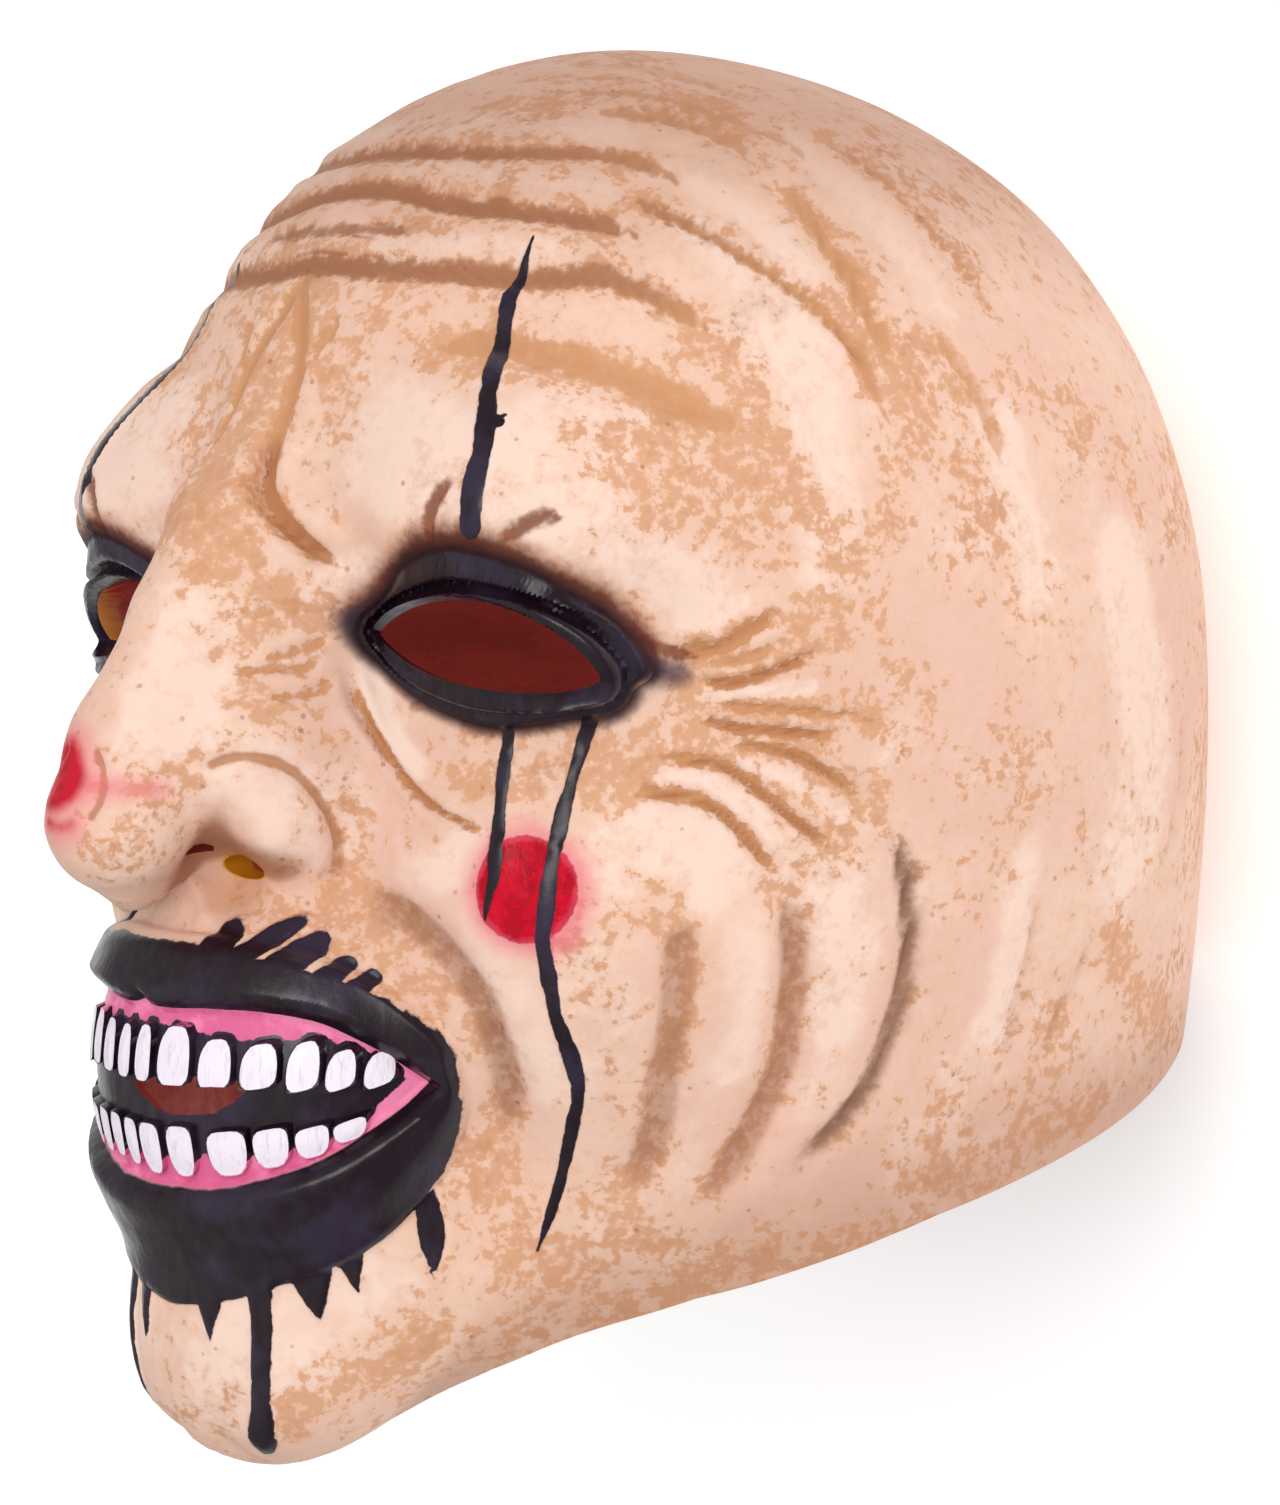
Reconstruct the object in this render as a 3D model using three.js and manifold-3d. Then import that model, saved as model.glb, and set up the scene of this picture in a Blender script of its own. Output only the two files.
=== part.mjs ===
// Latex clown mask: one hollow casting that covers the whole head, from the crown to the chin.
// Millimetres. The mask lies on the back of its head with the face up: +Z leaves the face,
// +Y leaves the crown and +X leaves the wearer's left side. The face is symmetric about X = 0.
//
// Everything is worked out from a point in the middle of the head. Details of the face are
// placed by two angles in degrees, side (towards the wearer's left) and rise (towards the
// crown), and a height in millimetres above the skin.

import * as THREE from 'three';
import { mergeVertices } from 'three/addons/utils/BufferGeometryUtils.js';
import Module from 'manifold-3d';

const wasm = await Module();
wasm.setup();

// Wall and resting place
const wallThickness = 3.0;
const backFlatDepth = 103.0; // from the head's middle back to the small flat spot that it lies on

// Mesh density: cells along one side of the cube that the skin is made from
const skinCells = 19;
const liningCells = 11;
const frontCrowding = 0.55; // spacing of the cells at the face, against an even spacing
const crowdingPower = 1.5;

// Masses of the head, from the first to the last one blended on
const headMasses = {
  cranium: { centre: [0, 16, 1], radii: [96, 113, 104], blend: 0 },
  nape: { centre: [0, -46, -8], radii: [87, 108, 97], blend: 20 },
  forehead: { centre: [0, 48, 32], radii: [78, 76, 71], blend: 20 },
  lowerFace: { centre: [0, -38, 34], radii: [72, 84, 68], blend: 26 },
  muzzle: { centre: [0, -50, 99], radii: [38, 40, 35], blend: 16 },
  jawFront: { centre: [0, -82, 84], radii: [43, 30, 34], blend: 14 },
  chin: { centre: [0, -97, 106], radii: [28, 23, 21], blend: 11 },
};
const pairedMasses = {
  brow: { centre: [39, 46, 79], radii: [35, 25, 29], blend: 12 },
  cheek: { centre: [45, -18, 68], radii: [30, 36, 33], blend: 16 },
};
const socketHollows = {
  underBrow: { centre: [50, 25, 110], radii: [25, 15, 15], blend: 8 },
  besideNose: { centre: [27, 26, 118], radii: [9, 20, 14], blend: 8 },
};
const eyePad = { centre: [45, 24, 84], radii: [25, 14, 18], blend: 6 };

// Hooked nose: beads along the ridge, a root that slopes to the cheeks, and two wings
const ridgeBeads = [
  { centre: [0, 66, 86], radius: 12 },
  { centre: [0, 42, 111], radius: 11 },
  { centre: [0, 28, 121], radius: 10 },
  { centre: [0, 8, 131.5], radius: 11.5 },
  { centre: [0, -4, 136], radius: 12.5 },
];
const ridgeBlend = 3;
const noseMasses = {
  root: { centre: [0, 18, 98], radii: [25, 36, 28], blend: 8 },
  base: { centre: [0, 2, 114], radii: [13, 10, 20], blend: 6 },
};
const pairedNoseMasses = {
  side: { centre: [11, 5, 111], radii: [12, 13.5, 17], blend: 9 },
  wing: { centre: [16, -4.2, 112.3], radii: [8.3, 9.6, 10.5], blend: 4 },
};
const noseBlend = 9;

// Folds of the skin: path as [side, rise] pairs, half width and depth. Each is on both sides.
const foldRadius = 118; // distance from the head's middle at which widths are measured
const folds = [
  { path: [[0, 44], [15, 43.5], [30, 43], [46, 40]], width: 4, depth: 1.8 },
  { path: [[0, 51], [10, 51], [23, 49], [39, 47]], width: 4, depth: 1.7 },
  { path: [[0, 55], [21, 56], [41, 55], [53, 47]], width: 4, depth: 1.7 },
  { path: [[8, 63], [34, 62], [55, 59]], width: 4, depth: 1.4 },
  { path: [[46, 49], [54, 46], [62, 42], [65, 35]], width: 4, depth: 1.3 },
  { path: [[56, 56], [65, 48], [66, 41]], width: 4, depth: 1.2 },
  { path: [[1, 42], [4, 35], [5, 27], [8, 22], [13, 19.5]], width: 4, depth: 2.6 },
  { path: [[12, 10], [14, 4], [20, -0.5], [28, -3.5]], width: 3.4, depth: 1.8 },
  { path: [[43, 13], [53, 17]], width: 3.2, depth: 1.2 },
  { path: [[46, 7.5], [58, 6], [66, 7]], width: 3.2, depth: 1.4 },
  { path: [[48, 4.5], [56, 3.5], [64, -3]], width: 3.2, depth: 1.3 },
  { path: [[39, 1], [45, 1], [51, -4], [55, -13], [55, -24], [51, -33], [45, -39]], width: 5, depth: 2.2 },
  { path: [[64, -3], [68, -10], [68, -19], [65, -29], [59, -36]], width: 5, depth: 2.2 },
  { path: [[44, -10], [43, -19], [41, -29], [38, -37]], width: 4.5, depth: 2.0 },
  { path: [[9, 2], [13, -3], [18, -7], [23, -11], [27, -18], [28, -25], [26, -32]], width: 4, depth: 2.4 },
];
const foldFade = 0.22; // share of a fold's length over which each end runs out

// Eye holes, wide almonds inside rolled lids that narrow towards the nose
const eye = {
  inner: [15.2, 14.2],
  outer: [37.4, 10.3],
  topRise: 4.2,
  bottomDrop: 2.75,
  pointed: 1.35, // 1 is a plain ellipse
  lidRadius: 3.4,
  lidHeight: 1.0,
  lidOuterReach: 1.75, // half width of the lid at the outer corner, in degrees
  lidInnerReach: 0.8,
  lidOverhang: 0.3, // of the lid over the hole's edge, cut away with the hole
};
const eyeSteps = 22;
const eyeReach = 14; // of the cutting solid below and above the skin
const eyeFlare = 9; // growth of the hole's outline at the cutting solid's inner end, in degrees

// Mouth: outer edge of the painted lips, inner edge round the gums, and the breathing gap
const mouth = {
  rise: -21.2,
  cornerDrop: 2.2,
  innerHalfWidth: 22.5,
  innerTop: 6.2,
  innerBottom: 6.2,
  outerHalfWidth: 26,
  outerTop: 9.8,
  outerBottom: 13.6,
  lipHeight: 3.2,
  recess: 1.3,
};
const breathingGap = { side: 4.5, rise: -20.9, halfWidth: 4.9, halfHeight: 1.1 };
const gapSteps = 12;
const gapReach = 12;
const gapFlare = 5;
const lipSteps = 36;

// Teeth: [side, rise, width, height] from the wearer's right to the left, unevenly set
const upperTeeth = [
  [-17.4, -21.0, 1.8, 2.2],
  [-14.9, -20.3, 2.1, 2.7],
  [-12.1, -19.5, 2.3, 3.1],
  [-9.2, -18.7, 2.4, 3.4],
  [-6.4, -18.2, 2.1, 3.5],
  [-3.8, -18.2, 1.9, 3.4],
  [-1.4, -18.2, 1.6, 3.4],
  [0.9, -18.1, 1.7, 3.6],
  [4.0, -18.1, 3.0, 3.8],
  [7.5, -18.6, 2.6, 3.2],
  [10.7, -19.0, 2.6, 2.9],
  [13.6, -19.5, 2.1, 3.2],
  [15.9, -20.4, 1.8, 2.6],
  [18.2, -21.2, 1.9, 2.4],
];
const lowerTeeth = [
  [-16.2, -24.5, 2.0, 1.6],
  [-13.7, -24.6, 2.2, 2.1],
  [-10.9, -24.6, 2.4, 2.6],
  [-8.0, -24.5, 2.4, 2.9],
  [-5.3, -24.2, 2.0, 3.1],
  [-3.0, -24.0, 1.7, 3.1],
  [-0.9, -24.1, 1.6, 3.3],
  [1.3, -24.3, 2.2, 3.6],
  [4.3, -24.3, 2.4, 3.6],
  [8.2, -24.5, 3.1, 3.2],
  [11.4, -24.5, 2.5, 2.8],
  [14.1, -24.7, 2.2, 2.2],
  [16.4, -24.7, 2.0, 1.5],
];
const toothHeight = 1.7;
const toothRoot = 2.5;
const toothDraw = 0.84; // size of a tooth's front against its foot
const toothBulge = 0.4;

// A slot under each wing of the nose, turned to face outward
const nostril = { centre: [8.6, -11.2, 115.6], radii: [5.4, 2.4, 8], turn: 45 };

// Cut of the neck opening, as [forward, up] pairs seen from the side
const neckCut = [
  [-130, -44],
  [20, -77],
  [60, -88.5],
  [85, -101],
  [94, -111],
  [99, -135],
  [-130, -190],
];
const neckCutWidth = 260;
const backBlock = { width: 300, depth: 100 };

// Search for the skin along a direction from the head's middle
const searchStart = 190;
const searchSteps = 60;
const searchShare = 0.8;
const searchPrecision = 0.02;

// Blending of the masses

function ellipsoidDistance(point, centre, radii) {
  const across = new THREE.Vector3(
    (point.x - centre[0]) / radii[0],
    (point.y - centre[1]) / radii[1],
    (point.z - centre[2]) / radii[2],
  );
  const steepness = new THREE.Vector3(
    across.x / radii[0],
    across.y / radii[1],
    across.z / radii[2],
  );
  const reach = across.length();
  return (reach * (reach - 1)) / Math.max(steepness.length(), 1e-9);
}

function smoothUnion(a, b, blend) {
  if (blend === 0) return Math.min(a, b);
  const share = THREE.MathUtils.clamp(0.5 + (0.5 * (b - a)) / blend, 0, 1);
  return b + (a - b) * share - blend * share * (1 - share);
}

function smoothCut(a, b, blend) {
  return -smoothUnion(-a, b, blend);
}

function mirrored(centre, side) {
  return [side * centre[0], centre[1], centre[2]];
}

function pairDistance(point, mass, side) {
  return ellipsoidDistance(point, mirrored(mass.centre, side), mass.radii);
}

function ridgeDistance(point) {
  let distance = Infinity;
  for (let i = 1; i < ridgeBeads.length; i += 1) {
    const from = new THREE.Vector3(...ridgeBeads[i - 1].centre);
    const along = new THREE.Vector3(...ridgeBeads[i].centre).sub(from);
    const offset = point.clone().sub(from);
    const share = THREE.MathUtils.clamp(offset.dot(along) / along.lengthSq(), 0, 1);
    const radius = THREE.MathUtils.lerp(ridgeBeads[i - 1].radius, ridgeBeads[i].radius, share);
    const bead = offset.addScaledVector(along, -share).length() - radius;
    distance = i === 1 ? bead : smoothUnion(distance, bead, ridgeBlend);
  }
  return distance;
}

function noseDistance(point) {
  let distance = ridgeDistance(point);
  for (const mass of Object.values(noseMasses)) {
    distance = smoothUnion(distance, ellipsoidDistance(point, mass.centre, mass.radii), mass.blend);
  }
  for (const mass of Object.values(pairedNoseMasses)) {
    for (const side of [1, -1]) {
      distance = smoothUnion(distance, pairDistance(point, mass, side), mass.blend);
    }
  }
  return distance;
}

function headDistance(point) {
  let distance = Infinity;
  for (const mass of Object.values(headMasses)) {
    distance = smoothUnion(distance, ellipsoidDistance(point, mass.centre, mass.radii), mass.blend);
  }
  for (const mass of Object.values(pairedMasses)) {
    for (const side of [1, -1]) {
      distance = smoothUnion(distance, pairDistance(point, mass, side), mass.blend);
    }
  }
  for (const hollow of Object.values(socketHollows)) {
    for (const side of [1, -1]) {
      distance = smoothCut(distance, pairDistance(point, hollow, side), hollow.blend);
    }
  }
  distance = smoothUnion(distance, noseDistance(point), noseBlend);
  for (const side of [1, -1]) {
    distance = smoothUnion(distance, pairDistance(point, eyePad, side), eyePad.blend);
  }
  return distance;
}

// Directions from the head's middle

function direction(side, rise) {
  const sideAngle = THREE.MathUtils.degToRad(side);
  const riseAngle = THREE.MathUtils.degToRad(rise);
  return new THREE.Vector3(
    Math.sin(sideAngle) * Math.cos(riseAngle),
    Math.sin(riseAngle),
    Math.cos(sideAngle) * Math.cos(riseAngle),
  );
}

function foldPoints(fold) {
  return fold.path.map(([side, rise]) => direction(side, rise).multiplyScalar(foldRadius));
}

for (const fold of folds) {
  fold.points = foldPoints(fold);
}

function foldDepth(heading) {
  const place = new THREE.Vector3(Math.abs(heading.x), heading.y, heading.z).multiplyScalar(foldRadius);
  let depth = 0;
  for (const fold of folds) {
    let nearest = Infinity;
    let travelled = 0;
    const pieces = fold.points.length - 1;
    for (let i = 0; i < pieces; i += 1) {
      const line = new THREE.Line3(fold.points[i], fold.points[i + 1]);
      const share = line.closestPointToPointParameter(place, true);
      const distance = line.at(share, new THREE.Vector3()).distanceTo(place);
      if (distance < nearest) {
        nearest = distance;
        travelled = (i + share) / pieces;
      }
    }
    const startsAtMiddle = fold.path[0][0] < 1.5;
    const fadeIn = startsAtMiddle ? 1 : THREE.MathUtils.smoothstep(travelled, -0.05, foldFade);
    const fadeOut = THREE.MathUtils.smoothstep(1 - travelled, -0.05, foldFade);
    const groove = Math.exp(-((nearest / fold.width) ** 2));
    depth = Math.max(depth, fold.depth * fadeIn * fadeOut * groove);
  }
  return depth;
}

// How far the gums lie back inside the lips
function gumDepth(heading) {
  const side = THREE.MathUtils.radToDeg(Math.atan2(heading.x, heading.z));
  const rise = THREE.MathUtils.radToDeg(Math.asin(heading.y));
  const across = side / mouth.innerHalfWidth;
  const up = (rise - mouth.rise + mouth.cornerDrop * across ** 2) / mouth.innerTop;
  return mouth.recess * THREE.MathUtils.smoothstep(1.1 - Math.hypot(across, up), 0, 0.3);
}

// Distance out to the skin, or to a surface a given depth below it, found from outside
function skinRadius(heading, depthBelow, withFolds) {
  let radius = searchStart;
  for (let step = 0; step < searchSteps; step += 1) {
    const distance = headDistance(heading.clone().multiplyScalar(radius)) + depthBelow;
    radius -= distance * searchShare;
    if (Math.abs(distance) < searchPrecision) break;
  }
  return withFolds ? radius - foldDepth(heading) - gumDepth(heading) : radius;
}

function onSkin(side, rise, height) {
  const heading = direction(side, rise);
  return heading.multiplyScalar(skinRadius(heading, 0, false) + height);
}

// Geometry to solids and back

function solidFrom(geometry) {
  const bare = geometry.clone();
  bare.deleteAttribute('normal');
  bare.deleteAttribute('uv');
  const merged = mergeVertices(bare, 1e-4);
  const solid = new wasm.Manifold(
    new wasm.Mesh({
      numProp: 3,
      vertProperties: Float32Array.from(merged.attributes.position.array),
      triVerts: Uint32Array.from(merged.index.array),
    }),
  );
  return solid;
}

function geometryFrom(solid) {
  const mesh = solid.getMesh();
  const geometry = new THREE.BufferGeometry();
  geometry.setAttribute('position', new THREE.BufferAttribute(mesh.vertProperties, 3));
  geometry.setIndex(new THREE.BufferAttribute(mesh.triVerts, 1));
  return geometry;
}

function reshape(geometry, placeVertex) {
  const position = geometry.attributes.position;
  const vertex = new THREE.Vector3();
  for (let i = 0; i < position.count; i += 1) {
    vertex.fromBufferAttribute(position, i);
    const placed = placeVertex(vertex);
    position.setXYZ(i, placed.x, placed.y, placed.z);
  }
  return geometry;
}

// A cube's cells turned to directions, crowded towards the face, then pushed out to the head
function headShell(cells, depthBelow, withFolds) {
  const cube = new THREE.BoxGeometry(2, 2, 2, cells, cells, cells);
  const evenly = (value) => Math.tan((value * Math.PI) / 4);
  return reshape(cube, (vertex) => {
    const even = new THREE.Vector3(evenly(vertex.x), evenly(vertex.y), evenly(vertex.z)).normalize();
    const angle = Math.acos(THREE.MathUtils.clamp(even.z, -1, 1));
    const turn = Math.atan2(even.y, even.x);
    const reach = frontCrowding + (1 - frontCrowding) * (angle / Math.PI) ** crowdingPower;
    const crowded = angle * reach;
    const heading = new THREE.Vector3(
      Math.sin(crowded) * Math.cos(turn),
      Math.sin(crowded) * Math.sin(turn),
      Math.cos(crowded),
    );
    return heading.multiplyScalar(skinRadius(heading, depthBelow, withFolds));
  });
}

// Eye outline as a fraction of the turn, anticlockwise from the outer corner
function eyeOutline(turn, grow) {
  const across = Math.cos(turn);
  const share = (1 - across) / 2;
  const side = THREE.MathUtils.lerp(eye.outer[0], eye.inner[0], share);
  const rise = THREE.MathUtils.lerp(eye.outer[1], eye.inner[1], share);
  const up = Math.sin(turn);
  const bulge = Math.sign(up) * Math.abs(up) ** eye.pointed;
  const lift = up > 0 ? eye.topRise * bulge : eye.bottomDrop * bulge;
  return [side + grow * across, rise + lift + grow * up];
}

function lidReach(turn) {
  const share = (1 - Math.cos(turn)) / 2;
  return THREE.MathUtils.lerp(eye.lidOuterReach, eye.lidInnerReach, share ** 2);
}

function mouthOutline(turn, halfWidth, top, bottom) {
  const across = Math.cos(turn);
  const up = Math.sin(turn);
  const side = halfWidth * across;
  const middle = mouth.rise - mouth.cornerDrop * across ** 2;
  return [side, middle + (up > 0 ? top : bottom) * Math.sign(up) * Math.abs(up) ** 0.85];
}

// A hole through the wall with the given outline. It keeps its size above the skin and flares
// towards the lining, so that its edge is thin like a real mask's.
function holeThrough(outline, reach, flare) {
  const shape = new THREE.Shape(outline.map(([side, rise]) => new THREE.Vector2(side, rise)));
  const block = new THREE.ExtrudeGeometry(shape, { depth: 2, steps: 2, bevelEnabled: false });
  const middle = new THREE.Box2().setFromPoints(shape.getPoints()).getCenter(new THREE.Vector2());
  return reshape(block, (vertex) => {
    const spread = new THREE.Vector2(vertex.x, vertex.y).sub(middle).normalize();
    spread.multiplyScalar(flare * Math.max(1 - vertex.z, 0));
    return onSkin(vertex.x + spread.x, vertex.y + spread.y, reach * (vertex.z - 1));
  });
}

function turnsOf(steps) {
  return Array.from({ length: steps }, (_, i) => (i / steps) * 2 * Math.PI);
}

// A rolled rim: a torus whose ring follows an outline on the skin
function rolledRim(ringPlace, sectionAt, steps, sides) {
  const torus = new THREE.TorusGeometry(2, 1, sides, steps);
  return reshape(torus, (vertex) => {
    const turn = Math.atan2(vertex.y, vertex.x);
    const outward = Math.hypot(vertex.x, vertex.y) - 2;
    const section = sectionAt(turn);
    const [side, rise] = ringPlace(turn, outward * section.halfWidth);
    return onSkin(side, rise, section.base + vertex.z * section.height);
  });
}

function eyeLid(mirror) {
  const rim = rolledRim(
    (turn, outward) => eyeOutline(turn, lidReach(turn) - eye.lidOverhang + outward),
    (turn) => ({ halfWidth: lidReach(turn), base: eye.lidHeight, height: eye.lidRadius }),
    eyeSteps,
    6,
  );
  return mirror ? solidFrom(rim).mirror([1, 0, 0]) : solidFrom(rim);
}

function lips() {
  const rim = rolledRim(
    (turn, outward) => {
      const inner = mouthOutline(turn, mouth.innerHalfWidth, mouth.innerTop, mouth.innerBottom);
      const outer = mouthOutline(turn, mouth.outerHalfWidth, mouth.outerTop, mouth.outerBottom);
      const share = 0.5 + outward;
      return [
        THREE.MathUtils.lerp(inner[0], outer[0], share),
        THREE.MathUtils.lerp(inner[1], outer[1], share),
      ];
    },
    () => ({ halfWidth: 0.5, base: -1, height: mouth.lipHeight + 1 }),
    lipSteps,
    8,
  );
  return solidFrom(rim);
}

// A tooth: a box with its front corners drawn in, standing on the gum
function tooth([side, rise, width, height]) {
  const block = new THREE.BoxGeometry(1, 1, 1, 2, 2, 1);
  const placed = reshape(block, (vertex) => {
    const front = vertex.z > 0;
    const draw = front ? toothDraw : 1;
    const bulge = Math.abs(vertex.x) < 0.1 && Math.abs(vertex.y) < 0.1 ? toothBulge : 0;
    const level = front ? toothHeight - mouth.recess + bulge : -mouth.recess - toothRoot;
    return onSkin(side + vertex.x * width * draw, rise + vertex.y * height * draw, level);
  });
  return solidFrom(placed);
}

function nostrilHole(side) {
  const hole = new THREE.SphereGeometry(1, 10, 8);
  hole.scale(...nostril.radii);
  hole.rotateY(THREE.MathUtils.degToRad(side * nostril.turn));
  hole.translate(...mirrored(nostril.centre, side));
  return solidFrom(hole);
}

function neckCutter() {
  const shape = new THREE.Shape(neckCut.map(([forward, up]) => new THREE.Vector2(forward, up)));
  const block = new THREE.ExtrudeGeometry(shape, { depth: neckCutWidth, steps: 1, bevelEnabled: false });
  block.rotateY(-Math.PI / 2);
  block.translate(neckCutWidth / 2, 0, 0);
  return solidFrom(block);
}

function backCutter(depth) {
  const block = new THREE.BoxGeometry(backBlock.width, backBlock.width, backBlock.depth);
  block.translate(0, 0, -depth - backBlock.depth / 2);
  return solidFrom(block);
}

// The casting

let skin = solidFrom(headShell(skinCells, 0, true));
skin = skin.subtract(backCutter(backFlatDepth));
skin = skin.add(eyeLid(false)).add(eyeLid(true)).add(lips());

for (const size of [...upperTeeth, ...lowerTeeth]) {
  skin = skin.add(tooth(size));
}

let lining = solidFrom(headShell(liningCells, wallThickness, false));
lining = lining.subtract(backCutter(backFlatDepth - wallThickness));

let casting = skin.subtract(lining);

const eyeEdge = turnsOf(eyeSteps).map((turn) => eyeOutline(turn, 0));
const eyeHole = solidFrom(holeThrough(eyeEdge, eyeReach, eyeFlare));
const gapEdge = turnsOf(gapSteps).map((turn) => [
  breathingGap.side + breathingGap.halfWidth * Math.cos(turn),
  breathingGap.rise + breathingGap.halfHeight * Math.sin(turn),
]);
casting = casting.subtract(eyeHole).subtract(eyeHole.mirror([1, 0, 0]));
casting = casting.subtract(solidFrom(holeThrough(gapEdge, gapReach, gapFlare)));
casting = casting.subtract(nostrilHole(1)).subtract(nostrilHole(-1));
casting = casting.subtract(neckCutter());

const latex = new THREE.MeshStandardMaterial({ color: 0xead2bc, roughness: 0.55, metalness: 0 });
const maskShell = new THREE.Mesh(geometryFrom(casting), latex);
maskShell.name = 'mask_shell';

// The origin is under the middle of the mask, on the plane that its back lies on
const bounds = new THREE.Box3().setFromBufferAttribute(maskShell.geometry.attributes.position);
const middle = bounds.getCenter(new THREE.Vector3());
maskShell.position.set(-middle.x, -middle.y, -bounds.min.z);

const clownMask = new THREE.Group();
clownMask.add(maskShell);

export default clownMask;
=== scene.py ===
import bpy, bmesh, math
import numpy as np
from mathutils import Matrix, Vector, noise


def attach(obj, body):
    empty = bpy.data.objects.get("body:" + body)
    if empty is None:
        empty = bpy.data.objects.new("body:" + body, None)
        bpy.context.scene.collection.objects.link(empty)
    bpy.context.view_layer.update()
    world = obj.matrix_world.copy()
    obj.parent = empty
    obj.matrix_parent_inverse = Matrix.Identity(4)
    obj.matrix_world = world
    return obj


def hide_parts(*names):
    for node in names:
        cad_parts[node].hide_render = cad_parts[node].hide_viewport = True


# Latex clown mask lying on the back of its head, face up. Forms and marks are measured in
# millimetres from the middle of the head: x to the wearer's left, y to the crown, z out of the face.
# Marks are placed by two angles in degrees, [side, rise].

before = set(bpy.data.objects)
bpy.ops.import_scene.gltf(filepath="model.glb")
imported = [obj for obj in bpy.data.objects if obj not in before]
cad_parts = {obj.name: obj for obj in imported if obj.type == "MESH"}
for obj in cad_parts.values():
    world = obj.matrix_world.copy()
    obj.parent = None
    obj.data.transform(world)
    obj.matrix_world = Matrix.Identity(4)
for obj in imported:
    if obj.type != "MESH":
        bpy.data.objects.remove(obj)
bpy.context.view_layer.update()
headMiddle = np.array([0.0, -5.3624, 103.0])  # of the head, in the row frame
scene = bpy.context.scene


# Form of the head

headForm = {
    "masses": [  # centre, radii, blend
        [(0, 16, 1), (96, 113, 104), 0],  # cranium
        [(0, -46, -8), (87, 108, 97), 20],  # nape
        [(0, 48, 32), (78, 76, 71), 20],  # forehead
        [(0, -38, 34), (72, 84, 68), 26],  # lower face
        [(0, -50, 99), (38, 40, 35), 16],  # muzzle
        [(0, -82, 84), (43, 30, 34), 14],  # jaw
        [(0, -97, 106), (28, 23, 21), 11],  # chin
    ],
    "pairs": [
        [(39, 46, 79), (35, 25, 29), 12],  # brow
        [(45, -18, 68), (30, 36, 33), 16],  # cheek
    ],
    "hollows": [
        [(50, 25, 110), (25, 15, 15), 8],  # under the brow
        [(27, 26, 118), (9, 20, 14), 8],  # beside the nose
    ],
    "eyePad": [(45, 24, 84), (25, 14, 18), 6],
    "ridge": [  # beads along the hooked nose: centre, radius
        [(0, 66, 86), 12],
        [(0, 42, 111), 11],
        [(0, 28, 121), 10],
        [(0, 8, 131.5), 11.5],
        [(0, -4, 136), 12.5],
    ],
    "ridgeBlend": 3,
    "noseMasses": [
        [(0, 18, 98), (25, 36, 28), 8],  # root
        [(0, 2, 114), (13, 10, 20), 6],  # base
    ],
    "nosePairs": [
        [(11, 5, 111), (12, 13.5, 17), 9],  # side
        [(16, -4.2, 112.3), (8.3, 9.6, 10.5), 4],  # wing
    ],
    "noseBlend": 9,
}
wall = 3.0
backDepth = 103.0
ballRadius = 118  # of the ball on which marks are measured, in mm


def ellipsoidDistance(points, centre, radii):
    across = (points - np.array(centre)) / np.array(radii)
    reach = np.linalg.norm(across, axis=1)
    steep = np.linalg.norm(across / np.array(radii), axis=1)
    return reach * (reach - 1) / np.maximum(steep, 1e-9)


def smoothUnion(a, b, blend):
    if blend == 0:
        return np.minimum(a, b)
    share = np.clip(0.5 + 0.5 * (b - a) / blend, 0, 1)
    return b + (a - b) * share - blend * share * (1 - share)


def pairDistance(points, mass):
    centre, radii, blend = mass
    other = (-centre[0], centre[1], centre[2])
    near = ellipsoidDistance(points, centre, radii)
    return near, ellipsoidDistance(points, other, radii), blend


def noseDistance(points):
    beads = headForm["ridge"]
    distance = None
    for (start, r0), (end, r1) in zip(beads[:-1], beads[1:]):
        along = np.array(end, float) - np.array(start, float)
        offset = points - np.array(start, float)
        share = np.clip(offset @ along / (along @ along), 0, 1)
        bead = np.linalg.norm(offset - share[:, None] * along, axis=1) - (r0 + (r1 - r0) * share)
        distance = bead if distance is None else smoothUnion(distance, bead, headForm["ridgeBlend"])
    for centre, radii, blend in headForm["noseMasses"]:
        distance = smoothUnion(distance, ellipsoidDistance(points, centre, radii), blend)
    for mass in headForm["nosePairs"]:
        left, right, blend = pairDistance(points, mass)
        distance = smoothUnion(smoothUnion(distance, left, blend), right, blend)
    return distance


def headDistance(points):
    distance = np.full(len(points), 1e9)
    for centre, radii, blend in headForm["masses"]:
        distance = smoothUnion(distance, ellipsoidDistance(points, centre, radii), blend)
    for mass in headForm["pairs"]:
        left, right, blend = pairDistance(points, mass)
        distance = smoothUnion(smoothUnion(distance, left, blend), right, blend)
    for mass in headForm["hollows"]:
        left, right, blend = pairDistance(points, mass)
        distance = -smoothUnion(-distance, left, blend)
        distance = -smoothUnion(-distance, right, blend)
    distance = smoothUnion(distance, noseDistance(points), headForm["noseBlend"])
    left, right, blend = pairDistance(points, headForm["eyePad"])
    return smoothUnion(smoothUnion(distance, left, blend), right, blend)


def headNormal(points):
    reach = 0.3
    slopes = [headDistance(points + step) - headDistance(points - step) for step in np.eye(3) * reach]
    normal = np.stack(slopes, axis=1)
    return normal / np.linalg.norm(normal, axis=1)[:, None]


def pushToHead(starts, headings, below):
    reach = np.full(len(headings), 190.0)
    for step in range(60):
        gap = headDistance(starts + headings * reach[:, None]) + below
        reach -= gap * 0.85
        if np.abs(gap).max() < 0.01:
            break
    return starts + headings * reach[:, None]


def direction(side, rise):
    side, rise = np.radians(side), np.radians(rise)
    return np.stack([np.sin(side) * np.cos(rise), np.sin(rise), np.cos(side) * np.cos(rise)], axis=-1)


def anglesOf(points):
    heading = points / np.linalg.norm(points, axis=1)[:, None]
    return np.degrees(np.arctan2(heading[:, 0], heading[:, 2])), np.degrees(np.arcsin(heading[:, 1]))


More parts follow.
